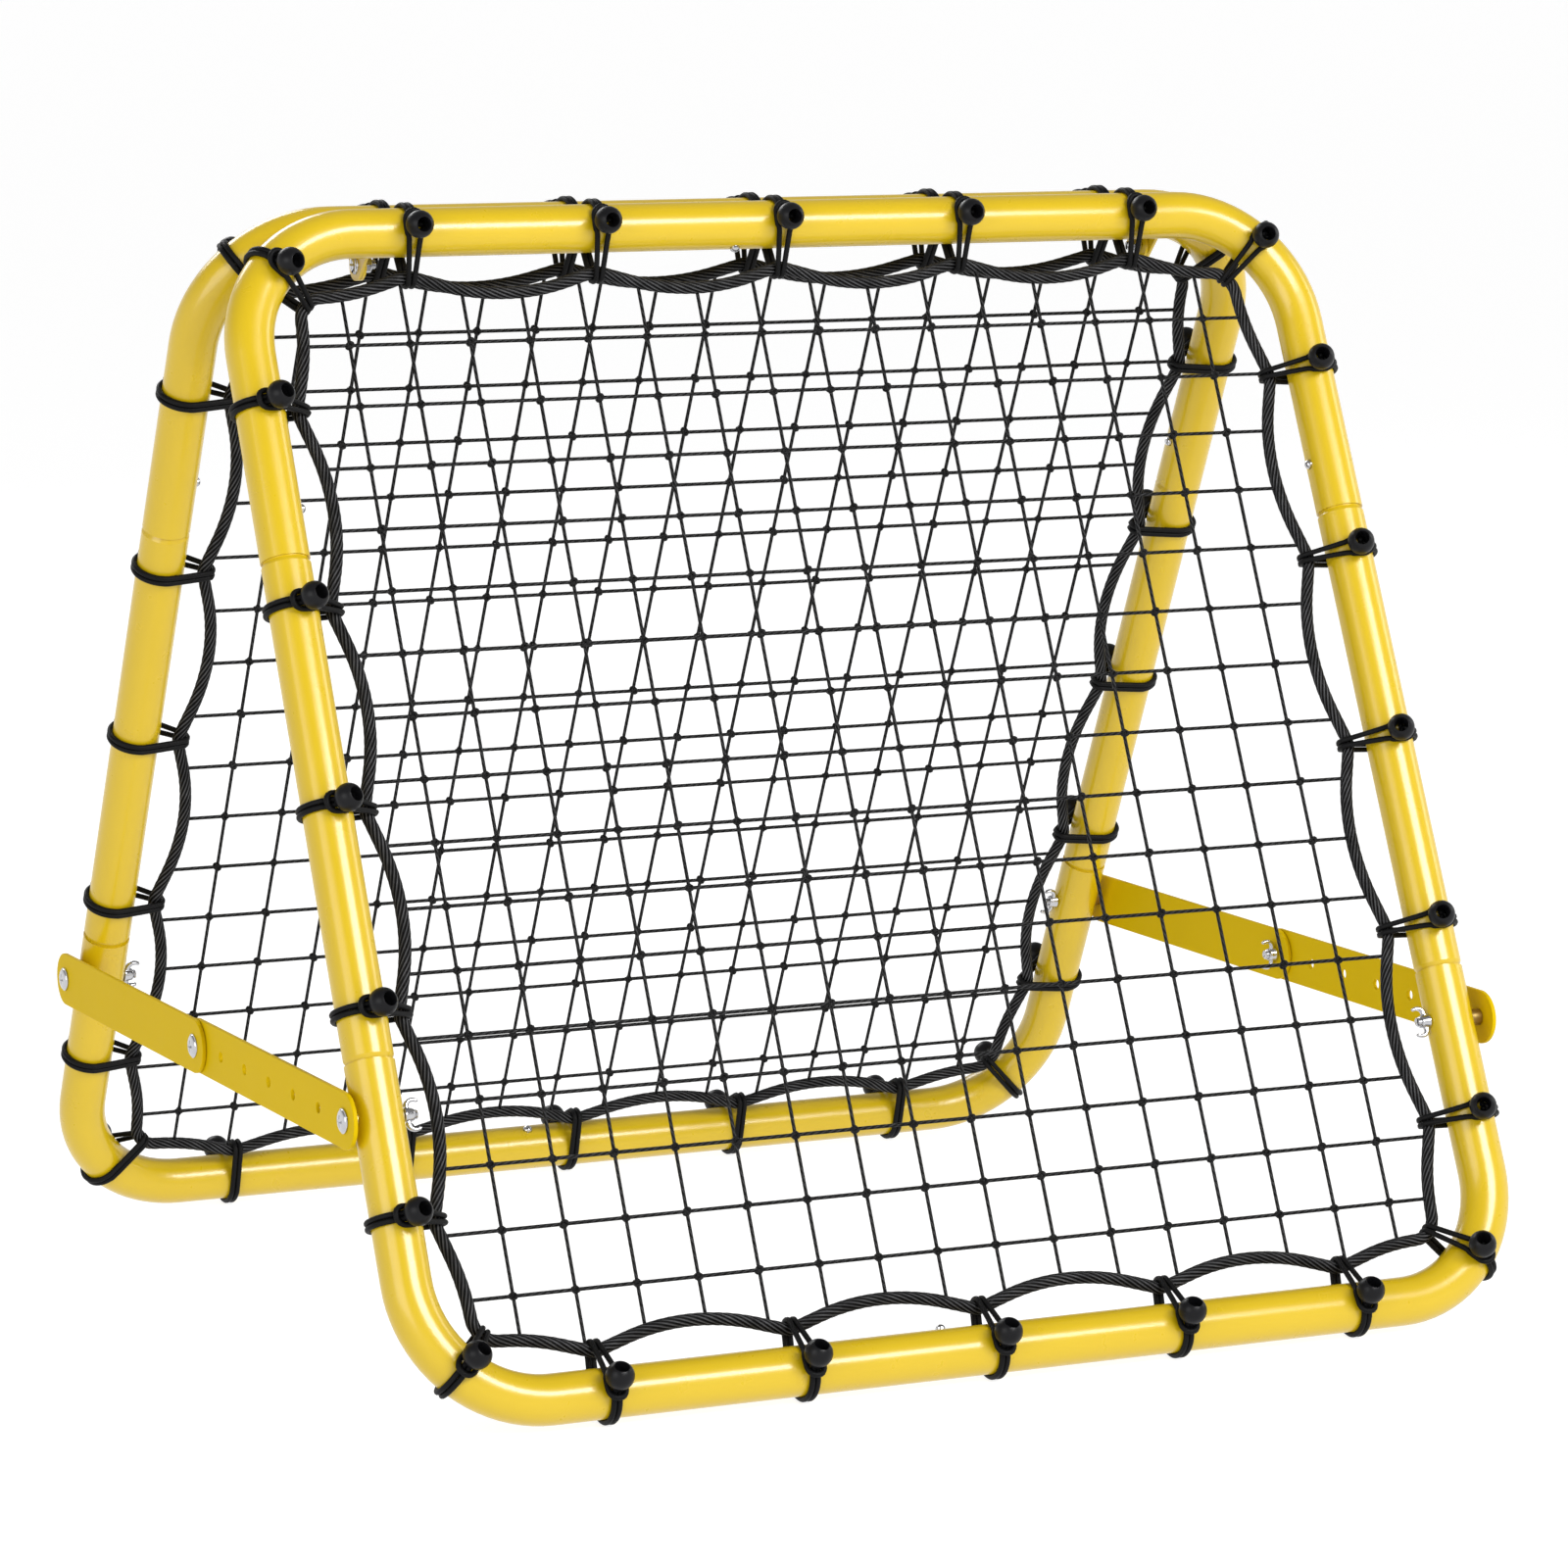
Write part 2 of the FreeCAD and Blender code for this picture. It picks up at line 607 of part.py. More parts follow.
def bar(side, end, level):
    """A round-ended flat brace bar from its leg bolt to the knee. The front one has five spare holes."""
    sx = SIDES[side]
    near = f"({LEG_X} + D.bar_out + {level} * (D.bar_t + D.bar_gap))"
    x = near if sx > 0 else f"(-{near} - D.bar_t)"
    leg_y = f"-{BOLT_Y}" if end == "front" else BOLT_Y
    start = f"-{BOLT_Y}" if end == "front" else "0"
    slab = box("D.bar_t", BOLT_Y, "D.bar_w", x, start, f"({BOLT_Z} - D.bar_w / 2)")
    ends = [cylinder("D.bar_w / 2", "D.bar_t", x, y, BOLT_Z, "+x") for y in (leg_y, "0")]
    drill_x = f"({x} - 5)"
    drills = [
        cylinder("D.run_d / 2", "20", drill_x, leg_y, BOLT_Z, "+x"),
        cylinder("D.fixed_d / 2", "20", drill_x, "0", BOLT_Z, "+x"),
    ]
    if end == "front":
        for number in range(1, 6):
            hole_y = f"({-number} * {BOLT_Y} / 6)"
            drills.append(cylinder("D.spare_d / 2", "20", drill_x, hole_y, BOLT_Z, "+x"))
    return node(cut(fuse([slab] + ends), fuse(drills)), f"brace_{side}_{end}_bar")


def leg_bolt(frame, side, level):
    """A brace bolt through a leg with its spacer: the spacer sits on the tube, the bar turns beyond it."""
    outward = "-x" if side == "left" else "+x"
    sx = SIDES[side]
    half_w = DIM["frame_w"] / 2
    inner_face = half_w + DIM["bar_out"] + level * (DIM["bar_t"] + DIM["bar_gap"])
    tip = half_w - DIM["tube_d"] / 2 - 12
    head_at = inner_face + DIM["bar_t"] + DIM["bar_gap"]
    leg = bolt(head_at - tip, DIM["head_d"], DIM["head_h"])
    place(leg, f"{sx * tip}", "-D.brace_t", "0", TURN[outward])
    group([leg], f"{frame}_leg_bolt_{side}", frame)
    start = half_w + DIM["tube_d"] / 2 - 3
    length = inner_face - DIM["bar_gap"] - start
    ring = cylinder("7", f"{length}", f"{sx * start}", "-D.brace_t", "0", outward)
    bore = cylinder("D.fixed_d / 2", f"{length + 2}", f"{sx * (start - 1)}", "-D.brace_t", "0", outward)
    tube = cylinder(TUBE_R, "40", f"({sx} * {LEG_X})", "(-D.brace_t - 20)", "0", "+y")
    return cut(ring, fuse([bore, tube]))


def nut_on_leg(frame, side):
    """A wing nut on the inner side of a leg."""
    sx = SIDES[side]
    inward = "+x" if side == "left" else "-x"
    x = f"({sx} * ({LEG_X} - D.tube_d / 2 - 0.3))"
    nut = place(wing_nut(), x, "-D.brace_t", "0", TURN[inward])
    return group([nut], f"wing_nut_{frame}_{side}", frame)


def knee(side):
    """The knee bolt of a brace, parted between the bars: the head half in the outer bar, and the stud
    half with its wing nut on the inner bar."""
    sx = SIDES[side]
    outward = "-x" if side == "left" else "+x"
    inward = "+x" if side == "left" else "-x"
    near = DIM["frame_w"] / 2 + DIM["bar_out"]
    outer = near + DIM["bar_t"] + DIM["bar_gap"]
    head = bolt(DIM["bar_t"], DIM["head_d"], DIM["head_h"])
    place(head, f"{sx * outer}", "0", BOLT_Z, TURN[outward])
    group([head], f"knee_bolt_{side}_head")
    stud = cylinder("D.bolt_d / 2", f"{12 + DIM['bar_t']}", f"{sx * (near - 12)}", "0", BOLT_Z, outward)
    group([stud], f"knee_bolt_{side}_stud")
    upright = f"rotation(vector(1; 0; 0); 90) * {TURN[inward]}"
    nut = place(wing_nut(), f"{sx * (near - 0.3)}", "0", BOLT_Z, upright)
    group([nut], f"wing_nut_knee_{side}")


def hinge_fasteners(side):
    """A hinge bolt along X with its head outside the front tab, and its hexagon nut inside the rear tab."""
    sx = SIDES[side]
    outward = "-x" if side == "left" else "+x"
    half_pair = DIM["tab_gap"] / 2 + DIM["tab_t"]
    tip = DIM["hinge_x"] - 15
    pin = bolt(DIM["hinge_x"] + half_pair - tip, 16.0, 3.4)
    place(pin, f"{sx * tip}", "0", HINGE_Z, TURN[outward])
    group([pin], f"hinge_bolt_{side}")
    prism = doc.addObject("Part::Prism", "Hexagon")
    prism.Polygon = 6
    prism.Circumradius = 7.5
    prism.Height = 7.0
    blank = cut(prism, cylinder("D.bolt_d / 2 + 0.1", "20", "0", "0", "-5", "+z"))
    place(blank, f"{sx * (DIM['hinge_x'] - half_pair - 0.4 - 7.0)}", "0", HINGE_Z, TURN[outward])
    group([blank], f"hinge_nut_{side}")


LEVELS = {("left", "front"): 0, ("left", "rear"): 1, ("right", "rear"): 0, ("right", "front"): 1}
for frame, sign in (("front", 1), ("rear", -1)):
    for row in ("top", "bottom"):
        for side in SIDES:
            corner_tube(frame, row, side)
    for side in SIDES:
        leg_tube(frame, side)
    for side in SIDES:
        hinge_tab(frame, side)
    springs = []
    for name, x, y, axis, rotation in snap_places():
        snap_button(frame, name, x, y, axis)
        springs.append(snap_spring(x, y, rotation))
    group(springs, f"{frame}_snap_springs", frame)
    net(frame, sign)
    depth = -sign * DIM["net_back"]
    feature(swept(wire_through(scallop_path(0.0), depth), DIM["rope_d"]), f"{frame}_border_rope", frame)
    bungees(frame, sign)
    spacers = [leg_bolt(frame, side, LEVELS[side, frame]) for side in SIDES]
    group(spacers, f"{frame}_brace_spacers", frame)
    for side in SIDES:
        nut_on_leg(frame, side)
for side in SIDES:
    for end in ("front", "rear"):
        bar(side, end, LEVELS[side, end])
    knee(side)
    hinge_fasteners(side)

doc.recompute()
for obj in doc.Objects:
    if "Invalid" in obj.State or "Error" in obj.State:
        raise RuntimeError(f"{obj.Label} did not compute: {obj.State}")
for obj in nodes:
    if obj.Shape.isNull() or not obj.Shape.isValid():
        raise RuntimeError(f"{obj.Label} has no valid shape")
    obj.Shape.exportStep(f"parts/{obj.Label}.step")
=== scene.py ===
"""Looks of the two-sided pitch back rebounder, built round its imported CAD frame.

Everything is in metres, in the frame's own axes. The tubes, tabs and springs stay as CAD nodes with
new materials; the nets, ropes, bungees, bars and fasteners are built here in more detail and replace
theirs.
A net frame's own axes are x to the right, y up its slope from the top tube's axis, z out of its front.
"""
import json
import math
import random

import bmesh
import bpy
import numpy as np
from mathutils import Matrix, Vector


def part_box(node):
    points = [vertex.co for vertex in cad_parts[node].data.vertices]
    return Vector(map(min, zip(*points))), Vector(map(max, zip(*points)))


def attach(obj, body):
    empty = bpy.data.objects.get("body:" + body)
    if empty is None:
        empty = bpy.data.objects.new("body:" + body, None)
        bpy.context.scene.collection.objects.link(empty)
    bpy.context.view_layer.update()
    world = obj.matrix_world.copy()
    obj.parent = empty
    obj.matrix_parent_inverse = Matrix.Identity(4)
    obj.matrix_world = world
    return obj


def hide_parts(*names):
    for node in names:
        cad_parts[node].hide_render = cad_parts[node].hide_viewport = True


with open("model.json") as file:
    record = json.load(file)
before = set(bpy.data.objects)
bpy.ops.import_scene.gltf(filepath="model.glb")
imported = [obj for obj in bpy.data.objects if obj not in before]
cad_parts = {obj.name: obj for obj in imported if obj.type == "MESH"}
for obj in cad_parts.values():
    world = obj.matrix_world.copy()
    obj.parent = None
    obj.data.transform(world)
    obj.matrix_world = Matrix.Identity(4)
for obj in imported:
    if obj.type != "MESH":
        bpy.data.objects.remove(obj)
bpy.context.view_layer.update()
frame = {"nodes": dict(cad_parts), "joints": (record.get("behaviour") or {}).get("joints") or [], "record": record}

MM = 0.001
NODES = frame["nodes"]
JOINTS = {joint["name"]: joint for joint in frame["joints"]}
SIDES = {"left": -1, "right": 1}
FRAMES = {"front": 1, "rear": -1}


# ------------------------------------------------------------------ sizes read from the CAD frame
def middle(node):
    """Centre of a CAD node's box."""
    low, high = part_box(node)
    return (low + high) / 2


LEG_LOW, LEG_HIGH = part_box("front_leg_right")
TUBE_R = (LEG_HIGH.x - LEG_LOW.x) / 2
HALF_W = middle("front_leg_right").x
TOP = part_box("front_corner_top_left")[1]
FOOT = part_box("front_corner_bottom_left")[0]
TOP_AXIS = Vector((0, TOP.y - TUBE_R, TOP.z - TUBE_R))
FOOT_AXIS = Vector((0, FOOT.y + TUBE_R, FOOT.z + TUBE_R))
SLOPE = TOP_AXIS - FOOT_AXIS
FRAME_L = SLOPE.length
HALF_L = FRAME_L / 2

# sizes of the soft parts, as the CAD model has them
BEND_R = 102 * MM
STATION = 166 * MM
SIDE_END = STATION * 2.5
NET_PITCH = 52.2 * MM
NET_CORDS = 16
NET_SHIFT = 4 * MM
NET_BACK = 9 * MM
NET_CORD_R = 1.55 * MM
ROPE_R = 5.2 * MM
ROPE_IN = 35 * MM
ROPE_STRANDS = 10
ROPE_LAY = 80 * MM
CORD_R = 2.3 * MM
BALL_R = 11.4 * MM
BALL_AT = Vector((6.5 * MM, 0, 34 * MM))


def frame_matrix(which):
    """From a net frame's own axes to the world."""
    sign = FRAMES[which]
    up = Vector((0, sign * SLOPE.y, SLOPE.z)).normalized()
    across = Vector((1, 0, 0))
    out = across.cross(up)
    top = Vector((0, sign * TOP_AXIS.y, TOP_AXIS.z))
    return Matrix.Translation(top) @ Matrix((across, up, out)).transposed().to_4x4()


# ------------------------------------------------------------------ mesh building
def moved(points, matrix):
    """Points, in an array of any shape that ends in 3, put through a matrix."""
    turn = np.array(matrix)
    return points @ turn[:3, :3].T + turn[:3, 3]


class Shape:
    """Collects parts of a mesh: vertices, faces and one UV per face corner."""

    def __init__(self):
        self.vertices = []
        self.faces = []
        self.uvs = []
        self.count = 0

    def add(self, vertices, faces, uvs=None):
        """Add vertices and faces. uvs is one (u, v) per corner, in the faces' order."""
        self.vertices.append(np.asarray(vertices, float).reshape(-1, 3))
        self.faces += [[corner + self.count for corner in face] for face in faces]
        corners = sum(len(face) for face in faces)
        self.uvs.append(np.zeros((corners, 2)) if uvs is None else np.asarray(uvs, float))
        self.count += len(self.vertices[-1])

    def grid(self, rings, close_u, close_v, uv_u=None, uv_v=None, caps=False):
        """Add a grid of points, shaped (rings, points per ring, 3)."""
        rows, columns = rings.shape[:2]
        uv_u = np.arange(rows + 1) if uv_u is None else uv_u
        uv_v = np.arange(columns + 1) / columns if uv_v is None else uv_v
        faces = []
        uvs = []
        for i in range(rows if close_u else rows - 1):
            for j in range(columns if close_v else columns - 1):
                here, there = i, (i + 1) % rows
                left, right = j, (j + 1) % columns
                faces.append((here * columns + left, here * columns + right,
                              there * columns + right, there * columns + left))
                uvs += [(uv_u[i], uv_v[j]), (uv_u[i], uv_v[j + 1]),
                        (uv_u[i + 1], uv_v[j + 1]), (uv_u[i + 1], uv_v[j])]
        if caps:
            for ring, step in ((0, -1), (rows - 1, 1)):
                corners = range(columns)[::step]
                faces.append([ring * columns + corner for corner in corners])
                uvs += [(uv_u[ring], 0.5)] * columns
        self.add(rings.reshape(-1, 3), faces, uvs)

    def build(self, name, material, matrix=None, sharp=None, merge=0.0):
        """Make the object. sharp is the angle in degrees over which an edge stays hard."""
        mesh = bpy.data.meshes.new(name)
        points = np.concatenate(self.vertices)
        if matrix is not None:
            points = moved(points, matrix)
        mesh.from_pydata(points.tolist(), [], self.faces)
        layer = mesh.uv_layers.new(name="UVMap")
        layer.data.foreach_set("uv", np.concatenate(self.uvs).ravel())
        mesh.polygons.foreach_set("use_smooth", [True] * len(mesh.polygons))
        if merge:
            work = bmesh.new()
            work.from_mesh(mesh)
            bmesh.ops.remove_doubles(work, verts=work.verts, dist=merge)
            work.to_mesh(mesh)
            work.free()
        if sharp is not None:
            mesh.set_sharp_from_angle(angle=math.radians(sharp))
        mesh.materials.append(material)
        mesh.update()
        obj = bpy.data.objects.new(name, mesh)
        bpy.context.scene.collection.objects.link(obj)
        return obj


def circle(radius, sides):
    """Points round a circle in a section's plane."""
    angles = np.arange(sides) * 2 * math.pi / sides
    return np.stack([radius * np.cos(angles), radius * np.sin(angles)], axis=1)


def tangents(points, closed):
    """Unit tangents along a line of points."""
    if closed:
        ahead = np.roll(points, -1, 0) - np.roll(points, 1, 0)
    else:
        ahead = np.gradient(points, axis=0)
    return ahead / np.linalg.norm(ahead, axis=1, keepdims=True)


def carried_frame(points):
    """Two unit vectors across an open line, carried along it without twist."""
    along = tangents(points, False)
    first = np.cross(along[0], (0.0, 0.0, 1.0))
    if np.linalg.norm(first) < 0.1:
        first = np.cross(along[0], (0.0, 1.0, 0.0))
    sides = [first / np.linalg.norm(first)]
    for k in range(1, len(points)):
        side = sides[-1] - along[k] * np.dot(sides[-1], along[k])
        sides.append(side / np.linalg.norm(side))
    sides = np.array(sides)
    return sides, np.cross(along, sides)


def arc_lengths(points, closed):
    """Distance along a line at each point, and at its end if it is closed."""
    steps = np.linalg.norm(np.diff(points, axis=0), axis=1)
    lengths = np.concatenate([[0], np.cumsum(steps)])
    if closed:
        lengths = np.append(lengths, lengths[-1] + np.linalg.norm(points[0] - points[-1]))
    return lengths


def spline(points, spacing):
    """A smooth open line through the points, sampled evenly."""
    knots = np.asarray(points, float)
    knots = np.vstack([2 * knots[0] - knots[1], knots, 2 * knots[-1] - knots[-2]])
    found = []
    for k in range(1, len(knots) - 2):
        a, b, c, d = knots[k - 1:k + 3]
        for t in np.linspace(0, 1, 24, endpoint=False):
            found.append(0.5 * (2 * b + (c - a) * t + (2 * a - 5 * b + 4 * c - d) * t ** 2
                                + (3 * b - a - 3 * c + d) * t ** 3))
    found.append(knots[-2])
    return resample(np.array(found), spacing)


def resample(points, spacing):
    """Even steps along an open line."""
    lengths = arc_lengths(points, False)
    count = max(2, int(round(lengths[-1] / spacing)) + 1)
    wanted = np.linspace(0, lengths[-1], count)
    return np.stack([np.interp(wanted, lengths, points[:, axis]) for axis in range(3)], axis=1)


def section_rings(points, side, other, section, scales=None):
    """A section set across a line at each of its points. scales is its width and height there."""
    wide, high = section[None, :, :1], section[None, :, 1:]
    if scales is not None:
        wide, high = wide * scales[:, None, :1], high * scales[:, None, 1:]
    return points[:, None, :] + side[:, None, :] * wide + other[:, None, :] * high


def sweep(shape, points, section):
    """Sweep a section along an open line."""
    side, other = carried_frame(points)
    rings = section_rings(points, side, other, section)
    shape.grid(rings, False, True, uv_u=arc_lengths(points, False), caps=True)


def lathe(shape, profile, sides, matrix=None, caps=False):
    """Turn a profile of (radius, height) about Z."""
    profile = np.asarray(profile, float)
    angles = np.arange(sides) * 2 * math.pi / sides
    rings = np.stack([profile[:, :1] * np.cos(angles), profile[:, :1] * np.sin(angles),
                      np.repeat(profile[:, 1:], sides, axis=1)], axis=2)
    if matrix is not None:
        rings = moved(rings, matrix)
    steps = np.concatenate([[0], np.cumsum(np.linalg.norm(np.diff(profile, axis=0), axis=1))])
    shape.grid(rings[:, ::-1], False, True, uv_u=steps, caps=caps)


def arc_points(centre, radius, start, end, count):
    """Points of an arc in a plane, angles in degrees."""
    angles = np.radians(np.linspace(start, end, count))
    return [(centre[0] + radius * math.cos(a), centre[1] + radius * math.sin(a)) for a in angles]


# ------------------------------------------------------------------ materials
def material(name, colour, roughness, metallic=0.0, **sockets):
    """A principled material, and its nodes for more."""
    made = bpy.data.materials.new(name)
    made.use_nodes = True
    nodes = made.node_tree.nodes
    shader = nodes["Principled BSDF"]
    shader.inputs["Base Color"].default_value = (*colour, 1)
    shader.inputs["Roughness"].default_value = roughness
    shader.inputs["Metallic"].default_value = metallic
    for socket, value in sockets.items():
        shader.inputs[socket.replace("_", " ")].default_value = value
    return made, nodes, made.node_tree.links, shader


def add_noise(nodes, links, coordinate, scale, detail=3.0, stretch=None):
    """A noise texture on object or UV coordinates. stretch multiplies the axes."""
    source = nodes.new("ShaderNodeTexCoord")
    noise = nodes.new("ShaderNodeTexNoise")
    noise.inputs["Scale"].default_value = scale
    noise.inputs["Detail"].default_value = detail
    if stretch:
        mapping = nodes.new("ShaderNodeMapping")
        mapping.inputs["Scale"].default_value = stretch
        links.new(source.outputs[coordinate], mapping.inputs["Vector"])
        links.new(mapping.outputs["Vector"], noise.inputs["Vector"])
    else:
        links.new(source.outputs[coordinate], noise.inputs["Vector"])
    return noise.outputs["Fac"]


def vary_colour(nodes, links, shader, factor, low, high):
    """Base colour between two colours by a factor."""
    mix = nodes.new("ShaderNodeMix")
    mix.data_type = "RGBA"
    mix.inputs["A"].default_value = (*low, 1)
    mix.inputs["B"].default_value = (*high, 1)
    links.new(factor, mix.inputs["Factor"])
    links.new(mix.outputs["Result"], shader.inputs["Base Color"])


def vary_roughness(nodes, links, shader, factor, low, high):
    """Roughness between two values by a factor."""
    span = nodes.new("ShaderNodeMapRange")
    span.inputs["To Min"].default_value = low
    span.inputs["To Max"].default_value = high
    links.new(factor, span.inputs["Value"])
    links.new(span.outputs["Result"], shader.inputs["Roughness"])


def add_bump(nodes, links, shader, height, distance, strength=1.0, after=None):
    """Bump from a height, after another bump if there is one."""
    bump = nodes.new("ShaderNodeBump")
    bump.inputs["Distance"].default_value = distance
    bump.inputs["Strength"].default_value = strength
    links.new(height, bump.inputs["Height"])
    if after is not None:
        links.new(after, bump.inputs["Normal"])
    links.new(bump.outputs["Normal"], shader.inputs["Normal"])
    return bump.outputs["Normal"]


def calculate(nodes, links, operation, first, second=None):
    """A math node on sockets or numbers."""
    node = nodes.new("ShaderNodeMath")
    node.operation = operation
    for slot, value in ((0, first), (1, second)):
        if isinstance(value, (int, float)):
            node.inputs[slot].default_value = value
        elif value is not None:
            links.new(value, node.inputs[slot])
    return node.outputs["Value"]


def yellow_paint(name, gloss, roughness):
    """Glossy powder coat: a faint orange peel, and a slight drift of colour and gloss."""
    low, high = (0.565, 0.384, 0.001), (0.605, 0.416, 0.003)
    made, nodes, links, shader = material(
        name, high, roughness, Specular_IOR_Level=gloss, Coat_Weight=0.4 * gloss, Coat_Roughness=0.1)
    vary_colour(nodes, links, shader, add_noise(nodes, links, "Object", 9.0, 4.0), low, high)
    vary_roughness(nodes, links, shader, add_noise(nodes, links, "Object", 60.0), roughness - 0.03,
                   roughness + 0.04)
    peel = add_noise(nodes, links, "Object", 420.0, 2.0)
    add_bump(nodes, links, shader, peel, 0.00006, 0.35)
    return made


def plated(name, colour, roughness_low, roughness_high):
    """Plated steel with faint smears."""
    made, nodes, links, shader = material(name, colour, roughness_low, 1.0)
    smear = add_noise(nodes, links, "Object", 500.0, 4.0)
    vary_roughness(nodes, links, shader, smear, roughness_low, roughness_high)
    dark = tuple(0.82 * value for value in colour)
    vary_colour(nodes, links, shader, add_noise(nodes, links, "Object", 160.0), dark, colour)
    add_bump(nodes, links, shader, smear, 0.00003, 0.3)
    return made


def split_uv(nodes, links):
    """The u and v outputs of the UV coordinates."""
    source = nodes.new("ShaderNodeTexCoord")
    parts = nodes.new("ShaderNodeSeparateXYZ")
    links.new(source.outputs["UV"], parts.inputs["Vector"])
    return parts.outputs["X"], parts.outputs["Y"]


def helix_wave(nodes, links, u, v, per_metre, starts):
    """A wave that winds round a swept cord, from 0 where u and v are 0 to 1 and back."""
    along = calculate(nodes, links, "MULTIPLY", u, per_metre * math.pi)
    around = calculate(nodes, links, "MULTIPLY", v, starts * math.pi)
    wave = calculate(nodes, links, "SINE", calculate(nodes, links, "ADD", along, around))
    return calculate(nodes, links, "MULTIPLY", wave, wave)


def braid_cover(name, dark, light, roughness, per_metre, starts, depth):
    """A braided cover: two sets of yarns that wind opposite ways."""
    made, nodes, links, shader = material(name, light, roughness, Specular_IOR_Level=0.12)
    u, v = split_uv(nodes, links)
    one = helix_wave(nodes, links, u, v, per_metre, starts)
    two = helix_wave(nodes, links, u, v, per_metre, -starts)
    weave = calculate(nodes, links, "MAXIMUM", one, two)
    fibre = add_noise(nodes, links, "UV", 1.0, 3.0, (2500.0, 18.0, 1.0))
    blend = calculate(nodes, links, "MULTIPLY", weave, fibre)
    vary_colour(nodes, links, shader, blend, dark, light)
    vary_roughness(nodes, links, shader, fibre, roughness - 0.1, roughness + 0.12)
    add_bump(nodes, links, shader, weave, depth, 0.7)
    return made


def twisted_fibre(name, groove_shade, crest_highlight, roughness, strands, lay, depth):
    """Twisted strands with fine yarns: painted shade where strands meet and a painted highlight along their
    crests, made patchy by a noise.
    lay is the strands' turns per metre against the mesh, 0 where the mesh follows them."""
    made, nodes, links, shader = material(name, crest_highlight, roughness, Specular_IOR_Level=0.07)
    u, v = split_uv(nodes, links)
    strand = helix_wave(nodes, links, u, v, lay, strands)
    height = calculate(nodes, links, "POWER", strand, 2.2)
    # A noise that makes the painted crest highlight patchy.
    highlight_patches = add_noise(nodes, links, "Object", 70.0, 4.0)
    blend = calculate(nodes, links, "MULTIPLY", height, highlight_patches)
    # Base colour runs from the painted groove shade up to the painted crest highlight.
    vary_colour(nodes, links, shader, blend, groove_shade, crest_highlight)
    vary_roughness(nodes, links, shader, add_noise(nodes, links, "Object", 380.0), roughness - 0.08,
                   roughness + 0.12)
    yarn = helix_wave(nodes, links, u, v, lay * 3 + 60, strands * 6)
    shape_bump = add_bump(nodes, links, shader, height, depth, 0.8)
    add_bump(nodes, links, shader, yarn, depth * 0.12, 0.6, shape_bump)
    return made


def ball_plastic():
    """Satin black moulded plastic with a fine mould texture."""
    made, nodes, links, shader = material(
        "ball_plastic", (0.006, 0.006, 0.007), 0.27, Specular_IOR_Level=0.17)
    grain = add_noise(nodes, links, "Object", 900.0, 3.0)
    vary_colour(nodes, links, shader, add_noise(nodes, links, "Object", 40.0),
                (0.004, 0.004, 0.005), (0.009, 0.009, 0.010))
    vary_roughness(nodes, links, shader, grain, 0.28, 0.42)
    add_bump(nodes, links, shader, grain, 0.00008, 0.5)
    return made


PAINT = yellow_paint("yellow_powder_coat", 0.6, 0.28)
BAR_PAINT = yellow_paint("yellow_flat_bar", 0.02, 0.38)
CHROME = plated("bright_chrome", (0.66, 0.66, 0.68), 0.08, 0.2)
ZINC = plated("zinc_plate", (0.46, 0.34, 0.13), 0.28, 0.45)
SPRING_STEEL = plated("spring_steel", (0.50, 0.50, 0.52), 0.25, 0.4)
# The dark colour is painted shade in the cord's grooves and the lighter one a painted highlight on its crests.
NET_CORD = twisted_fibre("net_cord", (0.003, 0.003, 0.003), (0.060, 0.060, 0.063), 0.33,
                         strands=3, lay=150.0, depth=0.00008)
# The dark colour is painted shade between the rope's strands and the lighter one a painted highlight on their
# crests.
ROPE = twisted_fibre("border_rope", (0.0003, 0.0003, 0.0003), (0.15, 0.15, 0.156), 0.32,
                     strands=ROPE_STRANDS, lay=0.0, depth=0.0011)
BUNGEE = braid_cover("bungee_cover", (0.002, 0.002, 0.002), (0.009, 0.009, 0.010), 0.5,
                     per_metre=420.0, starts=8, depth=0.00012)
BALL = ball_plastic()
SLOT_MATERIALS = {
    "yellow_paint": PAINT,
    "chrome": CHROME,
    "zinc_steel": ZINC,
    "spring_steel": SPRING_STEEL,
    "net_cord": NET_CORD,
    "border_rope": ROPE,
    "bungee_cord": BUNGEE,
    "bungee_ball": BALL,
}


def dress_cad_nodes():
    """Give each CAD node that stays visible its finish."""
    for row in frame["record"]["subparts"]:
        obj = NODES[row["node"]]
        obj.data.materials.clear()
        obj.data.materials.append(SLOT_MATERIALS[row["material_slot"]])


def finish_piece(obj, body, slot, *nodes):
    """Ride on a body and stand for CAD nodes. slot is not used."""
    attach(obj, body)
    if nodes:
        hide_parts(*nodes)


# ------------------------------------------------------------------ border rope and net
DIP_R = 15 * MM
DIP_SLOPE = math.radians(17)
DIP_LINE = 24 * MM
ROPE_CORNER = 20 * MM


def rope_inset(u):
    """How far inward of the tube's axis the rope lies, at a distance along a side from its middle."""
    if abs(u) >= SIDE_END:
        return rope_inset(SIDE_END - 1e-6)
    near = abs((u + STATION / 2) % STATION - STATION / 2)
    dip_end = DIP_R * math.sin(DIP_SLOPE)
    line_end = dip_end + DIP_LINE * math.cos(DIP_SLOPE)
    if near < dip_end:
        return ROPE_IN + DIP_R - math.sqrt(DIP_R ** 2 - near ** 2)
    inset = ROPE_IN + DIP_R * (1 - math.cos(DIP_SLOPE))
    if near < line_end:
        return inset + (near - dip_end) * math.tan(DIP_SLOPE)
    inset += DIP_LINE * math.sin(DIP_SLOPE)
    crest_r = (STATION / 2 - line_end) / math.sin(DIP_SLOPE)
    rise = math.sqrt(crest_r ** 2 - (STATION / 2 - near) ** 2)
    return inset + rise - crest_r * math.cos(DIP_SLOPE)


